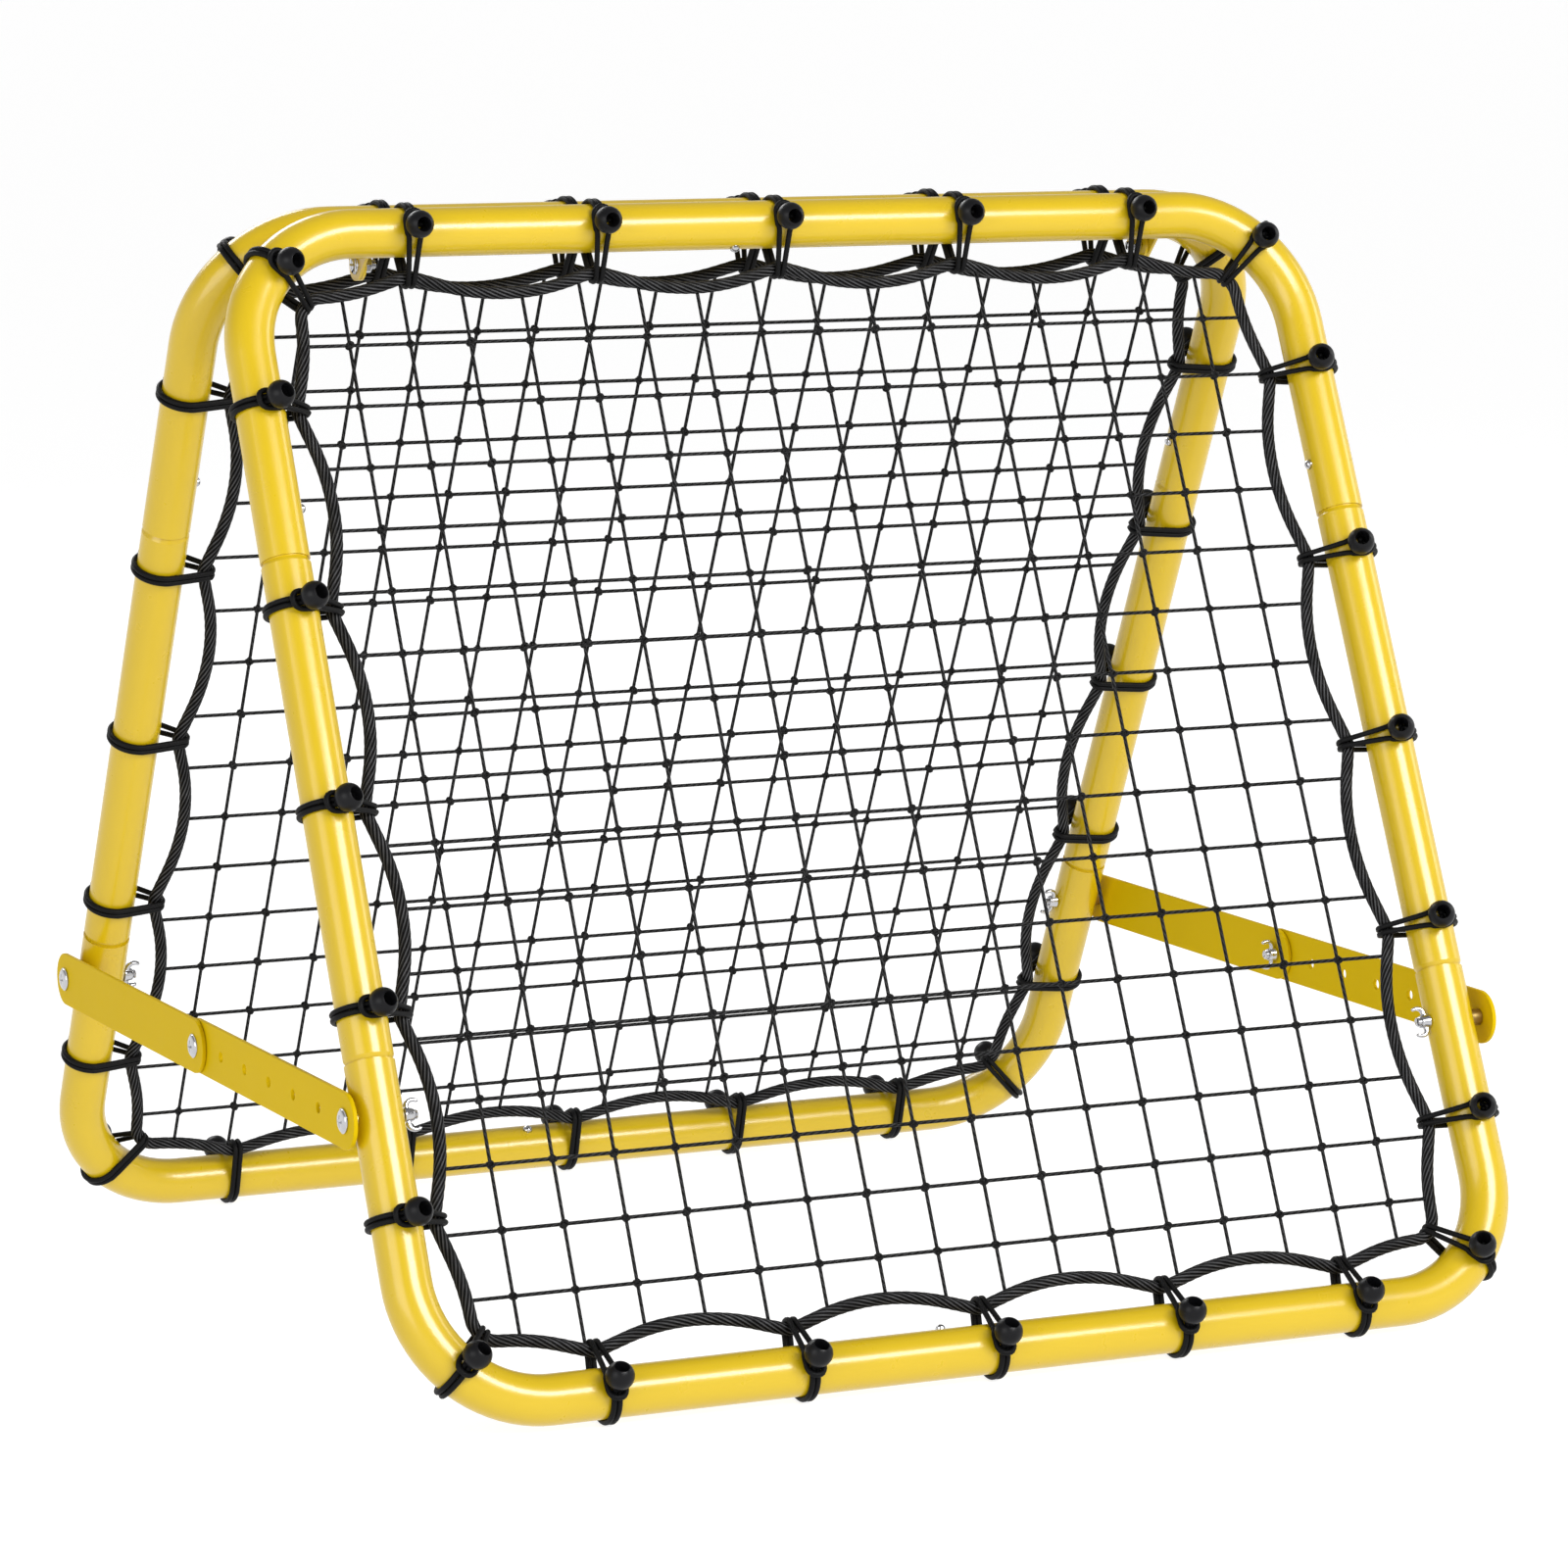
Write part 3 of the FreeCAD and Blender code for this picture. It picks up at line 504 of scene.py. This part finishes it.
def rope_line():
    """The closed rope path in a frame's x and y, about 2 mm apart."""
    turn = rope_inset(SIDE_END) + ROPE_CORNER
    line = []
    for number in range(4):
        half_u, half_v = (HALF_W, HALF_L) if number % 2 == 0 else (HALF_L, HALF_W)
        angle = -math.pi / 2 * number
        run = [(u, rope_inset(u)) for u in np.arange(turn - half_u, half_u - turn, 1.2 * MM)]
        run += [(half_u - turn + ROPE_CORNER * math.sin(a), turn - ROPE_CORNER * math.cos(a))
                for a in np.linspace(0, math.pi / 2, 24, endpoint=False)]
        for u, v in run:
            x = u * math.cos(angle) - (half_v - v) * math.sin(angle)
            y = u * math.sin(angle) + (half_v - v) * math.cos(angle)
            line.append((x, y - HALF_L, 0))
    line = np.array(line)
    closed = resample(np.vstack([line, line[:1]]), 2.2 * MM)
    return closed[:-1]


def flute_section(strands, samples):
    """Outline of strands laid round a core: angle and radius for each sample."""
    ring = ROPE_R / (1 + math.sin(math.pi / strands))
    strand_r = ROPE_R - ring
    half = math.pi / strands
    points = []
    for number in range(strands):
        for step in range(samples):
            offset = (step / samples - 0.5) * 2 * half
            reach = strand_r ** 2 - (ring * math.sin(offset)) ** 2
            radius = ring * math.cos(offset) + math.sqrt(max(reach, 0))
            points.append(((2 * number + 1) * half + offset, radius))
    return np.array(points)


def border_rope(which):
    """The laid rope round a net: ten strands with a long lay."""
    samples = 6
    line = rope_line()
    lengths = arc_lengths(line, True)
    turns = round(lengths[-1] / ROPE_LAY * ROPE_STRANDS) / ROPE_STRANDS
    along = tangents(line, True)
    up = np.tile([0.0, 0.0, 1.0], (len(line), 1))
    side = np.cross(up, along)
    section = flute_section(ROPE_STRANDS, samples)
    twist = lengths[:-1] / lengths[-1] * turns * 2 * math.pi
    angles = section[None, :, 0] + twist[:, None]
    radius = section[None, :, 1]
    rings = (line[:, None, :] + side[:, None, :] * (radius * np.cos(angles))[:, :, None]
             + up[:, None, :] * (radius * np.sin(angles))[:, :, None])
    # The last ring joins the first one turned by the whole twist, which is a whole number of strands.
    shift = int(round(turns * ROPE_STRANDS)) % ROPE_STRANDS * samples
    rows, columns = rings.shape[:2]
    shape = Shape()
    faces = []
    uvs = []
    for i in range(rows):
        slide = shift if i == rows - 1 else 0
        there = (i + 1) % rows
        for j in range(columns):
            left, right = (j + slide) % columns, (j + 1 + slide) % columns
            faces.append((i * columns + j, there * columns + left,
                          there * columns + right, i * columns + (j + 1) % columns))
            u0, u1 = lengths[i], lengths[i + 1]
            v0, v1 = j / columns, (j + 1) / columns
            uvs += [(u0, v0), (u1, v0), (u1, v1), (u0, v1)]
    shape.add(rings.reshape(-1, 3), faces, uvs)
    depth = -FRAMES[which] * NET_BACK
    matrix = frame_matrix(which) @ Matrix.Translation((0, 0, depth))
    rope = shape.build(f"{which}_rope", ROPE, matrix)
    finish_piece(rope, f"{which}_frame", "border_rope", f"{which}_border_rope")


def knot_shape(cord_r, generator):
    """Two crossed rings of cord round a crossing, as one lump with rounded lobes."""
    knot = Shape()
    section = circle(cord_r * 0.86, 7)
    for tilt in (0.8, -0.8):
        turn = Matrix.Rotation(math.pi / 4 + generator.uniform(-0.2, 0.2), 3, "Z") @ \
            Matrix.Rotation(tilt, 3, "X")
        ring = []
        for a in np.linspace(0, 2 * math.pi, 13)[:-1]:
            point = Vector((math.cos(a) * cord_r * 1.15, math.sin(a) * cord_r * 1.75, 0))
            ring.append(turn @ point)
        line = np.array(ring)
        along = tangents(line, True)
        normal = np.tile(np.array(turn @ Vector((0, 0, 1))), (len(line), 1))
        side = np.cross(normal, along)
        knot.grid(section_rings(line, side, normal, section), True, True)
    return knot


def net(which):
    """Sixteen by sixteen cords between the ropes, knotted where they cross."""
    generator = random.Random(11 if which == "front" else 23)
    section = circle(NET_CORD_R, 8)
    shape = Shape()
    places = [(number - (NET_CORDS - 1) / 2) * NET_PITCH for number in range(NET_CORDS)]
    for place in places:
        level = place - NET_SHIFT
        ends_x = HALF_W - rope_inset(level)
        ends_y = HALF_L - rope_inset(place)
        wander = generator.uniform(-0.5, 0.5) * MM
        runs = [
            [(-ends_x, level, 0), (0, level + wander, 0.5 * MM), (ends_x, level, 0)],
            [(place, -ends_y, 0), (place + wander, 0, -0.5 * MM), (place, ends_y, 0)],
        ]
        for run in runs:
            sweep(shape, spline(run, 8 * MM), section)
    for x in places:
        for y in places:
            knot = knot_shape(NET_CORD_R * 1.12, generator)
            turn = Matrix.Rotation(generator.choice((0, math.pi / 2)), 3, "Z")
            points = np.concatenate(knot.vertices) @ np.array(turn).T
            points += (x, y - NET_SHIFT, 0)
            shape.add(points, knot.faces, np.concatenate(knot.uvs))
    depth = -FRAMES[which] * NET_BACK
    matrix = frame_matrix(which) @ Matrix.Translation((0, -HALF_L, depth))
    made = shape.build(f"{which}_knotted_net", NET_CORD, matrix)
    finish_piece(made, f"{which}_frame", "net_cord", f"{which}_net")


# ------------------------------------------------------------------ bungees
# Degrees that a ball's bore leans inward from straight out of the frame, for each side.
TILTS = {"top": 22, "bottom": 32, "left": 18, "right": 25, "corner": 24}


def stations():
    """Place, inward angle and name of each of a frame's 24 bungees."""
    corner = BEND_R * (1 - math.sqrt(0.5))
    found = []
    for number in (-2, -1, 0, 1, 2):
        along = number * STATION
        found.append((along, 0, -90, "top"))
        found.append((along, -FRAME_L, 90, "bottom"))
        found.append((-HALF_W, along - HALF_L, 0, "left"))
        found.append((HALF_W, along - HALF_L, 180, "right"))
    for sx in (-1, 1):
        x = sx * (HALF_W - corner)
        found.append((x, -corner, -90 + sx * -45, "corner"))
        found.append((x, corner - FRAME_L, 90 + sx * 45, "corner"))
    return found


def bungee_line(lean):
    """A bungee's doubled cord as one line: out of the ball, round the outer side of the tube and its
    back, round the rope, and back over the front to hook behind the ball. x is inward, z outward."""
    cord = CORD_R
    tube_r = TUBE_R + cord + 0.1 * MM
    rope_r = ROPE_R + cord + 0.2 * MM
    reach = math.hypot(ROPE_IN, NET_BACK)
    base = math.degrees(math.atan2(-NET_BACK, ROPE_IN))
    opening = math.degrees(math.acos((tube_r - rope_r) / reach))
    half = []

    def on_tube(angle, y, lift=0.0):
        a = math.radians(angle)
        half.append(((tube_r + lift) * math.cos(a), y, (tube_r + lift) * math.sin(a)))

    def on_rope(angle, y):
        a = math.radians(angle)
        half.append((ROPE_IN + rope_r * math.cos(a), y, -NET_BACK + rope_r * math.sin(a)))

    axis = Vector((math.sin(lean), 0, math.cos(lean)))
    for depth in (1 * MM, 5 * MM):
        point = BALL_AT - axis * depth
        half.append((point.x, cord * 0.85, point.z))
    exit_at = BALL_AT - axis * (BALL_R - 1.5 * MM)
    half.append((exit_at.x - 2.4 * MM, cord * 0.9, exit_at.z))
    for angle in (104, 122, 142, 164, 188, 212, 236, 258):
        on_tube(angle, cord * 1.02)
    on_tube(360 + base - opening, cord * 1.04)
    for step in (-0.96, -0.5, 0, 0.5, 0.96):
        on_rope(base + step * opening, cord * (1.08 + 0.04 * step))
    on_tube(base + opening, cord * 2.05)
    on_tube(68, cord * 2.85, 0.2 * MM)
    on_tube(84, cord * 3.2, 0.8 * MM)
    on_tube(97, cord * 3.15, 1.8 * MM)
    on_tube(105.5, cord * 2.3, 3.6 * MM)
    on_tube(108.5, cord * 1.15, 4.9 * MM)
    on_tube(109, 0, 5.3 * MM)
    other = [(x, -y, z) for x, y, z in half[-2::-1]]
    return half + other


def ball_profile():
    """Half section of a bungee ball about its bore, round the outside and back through the bore."""
    bore = 5.8 * MM
    lip = 0.7 * MM
    neck_bore = 4.9 * MM
    meet = math.degrees(math.acos((bore + lip) / (BALL_R - 0.2 * MM)))
    neck_r = 6.6 * MM
    start = -(90 - math.degrees(math.asin(neck_r / BALL_R)))
    outside = arc_points((0, 0), BALL_R, start, meet, 26)
    rim_z = outside[-1][1]
    rim = [(bore + lip * 0.45, rim_z + 0.28 * MM), (bore + 0.1 * MM, rim_z - 0.05 * MM),
           (bore, rim_z - 0.7 * MM)]
    inside = [(bore, 2.0 * MM), (bore - 0.1 * MM, 1.2 * MM), (neck_bore, 0.0), (neck_bore, -9.0 * MM)]
    neck = [(neck_bore + 0.3 * MM, -10.4 * MM), (neck_bore + 0.9 * MM, -10.7 * MM),
            (6.3 * MM, -10.3 * MM)]
    return outside + rim + inside + neck + outside[:1]


def bungees(which):
    """The 24 bungees of a net: a pierced ball and its doubled cord, with small differences in set."""
    generator = random.Random(5 if which == "front" else 17)
    sign = FRAMES[which]
    over = Matrix.Rotation(0 if sign > 0 else math.pi, 4, "X")
    balls = Shape()
    cords = {"": Shape(), "_bottom": Shape()}
    section = circle(CORD_R, 10)
    for x, y, angle, kind in stations():
        lean = math.radians(TILTS[kind] + generator.uniform(-4, 4))
        yaw = Matrix.Rotation(math.radians(generator.uniform(-5, 5)), 4, "Z")
        slide = Matrix.Translation((0, generator.uniform(-1.5, 1.5) * MM, 0))
        heading = Matrix.Rotation(math.radians(angle), 4, "Z")
        station = Matrix.Translation((x, y, 0)) @ heading @ over @ slide
        set_ball = Matrix.Translation(BALL_AT) @ yaw @ Matrix.Rotation(lean, 4, "Y")
        lathe(balls, ball_profile(), 40, station @ set_ball)
        line = moved(spline(bungee_line(lean), 2.4 * MM), station)
        sweep(cords["_bottom" if kind == "bottom" else ""], line, section)
    matrix = frame_matrix(which)
    made = balls.build(f"{which}_balls", BALL, matrix, sharp=50, merge=1e-7)
    finish_piece(made, f"{which}_frame", "bungee_ball", f"{which}_bungee_balls")
    for end, shape in cords.items():
        made = shape.build(f"{which}_doubled_cords{end}", BUNGEE, matrix)
        finish_piece(made, f"{which}_frame", "bungee_cord", f"{which}_bungee_cords{end}")


# ------------------------------------------------------------------ fasteners and brace bars
HEAD_H = 3.6 * MM
BOLT_R = 4 * MM


def along_x(place, direction):
    """From a fastener's own axes, z along its axis, to the world. direction is the way z points."""
    turn = Matrix.Rotation(math.copysign(math.pi / 2, direction), 4, "Y")
    return Matrix.Translation(place) @ turn


def carve(obj, cutter):
    """Cut one closed object out of another for good."""
    for part in (obj, cutter):
        work = bmesh.new()
        work.from_mesh(part.data)
        bmesh.ops.recalc_face_normals(work, faces=work.faces)
        work.to_mesh(part.data)
        work.free()
    cut = obj.modifiers.new("cut", "BOOLEAN")
    cut.solver = "EXACT"
    cut.object = cutter
    found = obj.evaluated_get(bpy.context.evaluated_depsgraph_get())
    mesh = bpy.data.meshes.new_from_object(found)
    obj.modifiers.clear()
    obj.data = mesh
    bpy.data.objects.remove(cutter)


def cross_cutter(size, depth):
    """A Phillips recess: a cross that narrows to its floor."""
    wide, thin = size, size * 0.21
    outline = [(thin, thin), (wide, thin), (wide, -thin), (thin, -thin), (thin, -wide),
               (-thin, -wide), (-thin, -thin), (-wide, -thin), (-wide, thin), (-thin, thin),
               (-thin, wide), (thin, wide)]
    levels = []
    for share, z in ((1.25, 0.5 * depth), (1.0, 0.0), (0.5, -depth)):
        levels.append([(x * share, y * share, z) for x, y in outline])
    cutter = Shape()
    cutter.grid(np.array(levels)[::-1], False, True, caps=True)
    return cutter.build("cutter", CHROME)


def screw_head(name, matrix, radius):
    """A pan head with a Phillips recess and a thin flange, its seat at 0 and its top at -z."""
    flange = 0.9 * MM
    dome = [(radius * 0.93 * math.cos(a), flange + (HEAD_H - flange) * math.sin(a))
            for a in np.radians(np.linspace(6, 86, 12))]
    seat = [(BOLT_R, 0), (radius - 0.3 * MM, 0), (radius, 0.3 * MM), (radius - 0.1 * MM, flange)]
    head = Shape()
    lathe(head, seat + dome, 48, caps=True)
    made = head.build(name, CHROME)
    cutter = cross_cutter(radius * 0.52, 2.4 * MM)
    cutter.data.transform(Matrix.Translation((0, 0, HEAD_H * 0.96)))
    carve(made, cutter)
    made.data.transform(matrix @ Matrix.Rotation(math.pi, 4, "X"))
    made.data.set_sharp_from_angle(angle=math.radians(32))
    return made


def threaded_shaft(shape, matrix, length, thread_from):
    """A bolt's shaft from 0 to its length, with a helical thread on its end part."""
    pitch = 1.25 * MM
    steps = np.arange(0, length - thread_from, pitch / 6)
    sides = 24
    angles = np.arange(sides) * 2 * math.pi / sides
    rings = [np.stack([BOLT_R * np.cos(angles), BOLT_R * np.sin(angles), np.full(sides, z)], axis=1)
             for z in (0, thread_from)]
    for z in steps[1:]:
        phase = (z / pitch - angles / (2 * math.pi)) % 1
        taper = min(1, (length - thread_from - z) / pitch + 0.55)
        radius = (BOLT_R - 0.75 * MM * (1 - np.abs(2 * phase - 1))) * taper
        rings.append(np.stack([radius * np.cos(angles), radius * np.sin(angles),
                               np.full(sides, thread_from + z)], axis=1))
    shape.grid(moved(np.array(rings)[:, ::-1], matrix), False, True, caps=True)


def screw(node, body, outward, head_r, thread):
    """A screw along x in place of its CAD node. thread is the length of its threaded end."""
    low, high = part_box(node)
    centre = middle(node)
    ends = (high.x, low.x) if outward > 0 else (low.x, high.x)
    seat = ends[0] - outward * HEAD_H
    matrix = along_x((seat, centre.y, centre.z), -outward)
    head = screw_head(f"{node}_cross_head", matrix, head_r)
    finish_piece(head, body, "chrome", node)
    shaft = Shape()
    length = abs(ends[1] - seat)
    threaded_shaft(shaft, matrix, length, max(length - thread, 0.1 * MM))
    made = shaft.build(f"{node}_shaft", CHROME, sharp=40)
    finish_piece(made, body, "chrome")


def stud(node, body, outward):
    """The knee bolt's other half: a threaded end that stands out of the inner bar."""
    low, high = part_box(node)
    centre = middle(node)
    start, end = (high.x, low.x) if outward > 0 else (low.x, high.x)
    shaft = Shape()
    matrix = along_x((start, centre.y, centre.z), -outward)
    threaded_shaft(shaft, matrix, abs(end - start), 3.6 * MM)
    made = shaft.build(f"{node}_thread", CHROME, sharp=40)
    finish_piece(made, body, "chrome", node)


def wing_nut(node, inward, tilt):
    """A wing nut on its own body: a tapered boss and two horns that curl away from its seat."""
    place = Vector(JOINTS[f"{node}_turn"]["pos_m"])
    low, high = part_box(node)
    place.x = low.x if inward > 0 else high.x
    matrix = along_x(place, inward) @ Matrix.Rotation(tilt, 4, "Z")
    boss = [(4.0, 0.0), (6.1, 0.0), (6.4, 0.3), (6.5, 0.9), (6.1, 2.2), (5.6, 5.0), (5.3, 7.3),
            (4.9, 8.0), (4.2, 7.9), (3.9, 7.0), (3.9, 0.3), (4.0, 0.0)]
    nut = Shape()
    lathe(nut, [(r * MM, z * MM) for r, z in boss], 36, matrix)
    spine = [(3.4, 3.4), (6.2, 3.2), (8.8, 3.8), (10.8, 5.4), (11.7, 7.9), (11.6, 10.4),
             (10.9, 12.6), (10.3, 13.7)]
    section = circle(1.0, 14)
    section = np.sign(section) * np.abs(section) ** 0.75
    for sign in (-1, 1):
        line = spline([(0, sign * r * MM, h * MM) for r, h in spine], 0.5 * MM)
        share = np.linspace(0, 1, len(line))
        tip = np.sqrt(np.clip((1 - share) / 0.06, 0.12, 1))
        wide = (2.7 - 1.0 * share) * tip * MM
        thick = (2.5 - 1.25 * share) * tip * MM
        across = np.array(matrix)[:3, 0]
        sweep_in_plane(nut, moved(line, matrix), across, section, np.stack([wide, thick], axis=1))
    made = nut.build(f"{node}_winged", CHROME, sharp=45)
    finish_piece(made, node, "chrome", node)


def sweep_in_plane(shape, line, side, section, scales):
    """Sweep a section along a line in a plane. side is across that plane."""
    along = tangents(line, False)
    sides = np.tile(side, (len(line), 1))
    other = np.cross(along, sides)
    shape.grid(section_rings(line, sides, other, section, scales), False, True, caps=True)


def hex_nut(node, body, outward):
    """A chamfered hexagon nut along x."""
    low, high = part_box(node)
    centre = middle(node)
    start = low.x if outward > 0 else high.x
    height = high.x - low.x
    flat = (high.y - low.y) / 2
    sides = 72
    angles = np.arange(sides) * 2 * math.pi / sides
    hexagon = flat / np.cos((angles + math.pi / 6) % (math.pi / 3) - math.pi / 6)
    top = height / MM
    rings = []
    for z, limit in ((0, 4.0), (0, 6.4), (0.5, 7.1), (1.0, 8.0),
                     (top - 1.0, 8.0), (top - 0.5, 7.1), (top, 6.4), (top, 4.0)):
        radius = np.minimum(hexagon, limit * MM)
        rings.append(np.stack([radius * np.cos(angles), radius * np.sin(angles),
                               np.full(sides, z * MM)], axis=1))
    matrix = along_x((start, centre.y, centre.z), outward)
    nut = Shape()
    nut.grid(moved(np.array(rings)[:, ::-1], matrix), False, True)
    finish_piece(nut.build(f"{node}_hexagon", CHROME, sharp=25), body, "chrome", node)


def bar(side, end):
    """A flat brace bar with round ends, soft painted edges and its row of holes."""
    node = f"brace_{side}_{end}_bar"
    low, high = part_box(node)
    half = (high.z - low.z) / 2
    edge = 0.7 * MM
    leg = JOINTS[f"{end}_bar_{side}_turn"]["pos_m"][1]
    holes = [0.0, leg]
    if end == "front":
        holes += [leg * k / 6 for k in range(1, 6)]
    data = bpy.data.curves.new(node, "CURVE")
    data.dimensions = "2D"
    data.fill_mode = "BOTH"
    data.extrude = (high.x - low.x) / 2 - edge
    data.bevel_depth = edge
    data.bevel_resolution = 2
    data.offset = -edge
    outline = (arc_points((max(0.0, leg), 0), half, -90, 90, 33)
               + arc_points((min(0.0, leg), 0), half, 90, 270, 33))
    hole_r = 4.3 * MM
    loops = [outline] + [arc_points((hole, 0), hole_r, 360, 0, 29)[:-1] for hole in holes]
    for loop in loops:
        line = data.splines.new("POLY")
        line.points.add(len(loop) - 1)
        for point, (a, b) in zip(line.points, loop):
            point.co = (a, b, 0, 1)
        line.use_cyclic_u = True
    curve = bpy.data.objects.new(f"{node}_curve", data)
    bpy.context.scene.collection.objects.link(curve)
    found = curve.evaluated_get(bpy.context.evaluated_depsgraph_get())
    mesh = bpy.data.meshes.new_from_object(found)
    bpy.data.objects.remove(curve)
    centre = middle(node)
    turn = Matrix(((0, 0, 1), (1, 0, 0), (0, 1, 0))).to_4x4()
    mesh.transform(Matrix.Translation((centre.x, 0, centre.z)) @ turn)
    made = bpy.data.objects.new(f"{node}_strap", mesh)
    bpy.context.scene.collection.objects.link(made)
    mesh.materials.clear()
    mesh.materials.append(BAR_PAINT)
    mesh.polygons.foreach_set("use_smooth", [True] * len(mesh.polygons))
    mesh.set_sharp_from_angle(angle=math.radians(35))
    finish_piece(made, f"{end}_bar_{side}", "yellow_paint", node)


def fasteners():
    """Screws, nuts and bars of both braces and of the top hinge."""
    for side, sx in SIDES.items():
        for end, sign in FRAMES.items():
            bar(side, end)
            screw(f"{end}_leg_bolt_{side}", f"{end}_frame", sx, 10 * MM, 17 * MM)
            lean = math.atan2(SLOPE.y, SLOPE.z) * sign
            wing_nut(f"wing_nut_{end}_{side}", -sx, -sx * (math.pi / 2 - lean))
        outer, inner = ("rear", "front") if side == "left" else ("front", "rear")
        screw(f"knee_bolt_{side}_head", f"{outer}_bar_{side}", sx, 10 * MM, 0.5 * MM)
        stud(f"knee_bolt_{side}_stud", f"{inner}_bar_{side}", sx)
        wing_nut(f"wing_nut_knee_{side}", -sx, math.pi / 2)
        screw(f"hinge_bolt_{side}", "front_frame", sx, 8 * MM, 14 * MM)
        hex_nut(f"hinge_nut_{side}", "front_frame", sx)


# ------------------------------------------------------------------ scene
# Each light's name, place, size in metres and power in watts.
LIGHTS = [
    ("key", (1.3, -4.5, 3.25), (3.0, 1.5), 235),
    ("left card", (-4.4, -2.6, 1.8), (3.2, 2.6), 70),
    ("right card", (4.8, -0.5, 2.4), (1.2, 2.2), 30),
    ("back", (-0.6, 4.6, 3.4), (3.0, 1.6), 95),
]
PART_MIDDLE = Vector((0, 0, 0.45))


def light(name, place, size, power):
    """A soft oblong light that points at the part and that the camera doesn't see."""
    data = bpy.data.lights.new(name, "AREA")
    data.shape = "RECTANGLE"
    data.size, data.size_y = size
    data.energy = power
    obj = bpy.data.objects.new(name, data)
    bpy.context.scene.collection.objects.link(obj)
    obj.location = place
    obj.rotation_mode = "QUATERNION"
    obj.rotation_quaternion = (PART_MIDDLE - Vector(place)).to_track_quat("-Z", "Y")
    obj.visible_camera = False


def surround():
    """A world that is white at the horizon and dims overhead, like a cove under a dark ceiling."""
    world = bpy.data.worlds.new("surround")
    world.use_nodes = True
    nodes = world.node_tree.nodes
    links = world.node_tree.links
    source = nodes.new("ShaderNodeTexCoord")
    parts = nodes.new("ShaderNodeSeparateXYZ")
    dim = nodes.new("ShaderNodeMapRange")
    dim.inputs["From Min"].default_value = 0.1
    dim.inputs["From Max"].default_value = 0.5
    dim.inputs["To Min"].default_value = 1.0
    dim.inputs["To Max"].default_value = 0.3
    links.new(source.outputs["Generated"], parts.inputs["Vector"])
    links.new(parts.outputs["Z"], dim.inputs["Value"])
    links.new(dim.outputs["Result"], nodes["Background"].inputs["Strength"])
    nodes["Background"].inputs["Color"].default_value = (1, 1, 1, 1)
    bpy.context.scene.world = world


def studio():
    """A plain pale floor, an even surround and soft lights."""
    floor = Shape()
    far = 240.0
    floor.add([(-far, -far, 0), (far, -far, 0), (far, far, 0), (-far, far, 0)], [(0, 1, 2, 3)])
    made, _, _, shader = material("floor", (0.34, 0.34, 0.34), 0.9, Specular_IOR_Level=0.1)
    shader.inputs["Emission Color"].default_value = (1, 1, 1, 1)
    shader.inputs["Emission Strength"].default_value = 0.84
    ground = floor.build("floor", made)
    ground.visible_glossy = False
    surround()
    bpy.context.scene.view_settings.view_transform = "Standard"
    for row in LIGHTS:
        light(*row)


def camera():
    """The photograph's view: its place, heading and narrow lens."""
    data = bpy.data.cameras.new("camera")
    data.sensor_width = 36.0
    data.lens = 132.81
    data.clip_end = 500.0
    obj = bpy.data.objects.new("camera", data)
    bpy.context.scene.collection.objects.link(obj)
    obj.location = (-2.0533, -4.4080, 1.1404)
    heading, down, roll = 0.4398035, 0.1471874, 0.00098  # radians
    turn = Matrix.Rotation(-heading, 3, "Z") @ Matrix.Rotation(math.pi / 2 - down, 3, "X")
    turn = turn @ Matrix.Rotation(roll, 3, "Z")
    obj.rotation_mode = "QUATERNION"
    obj.rotation_quaternion = turn.to_quaternion()
    bpy.context.scene.camera = obj


dress_cad_nodes()
for which in FRAMES:
    border_rope(which)
    net(which)
    bungees(which)
fasteners()
studio()
camera()
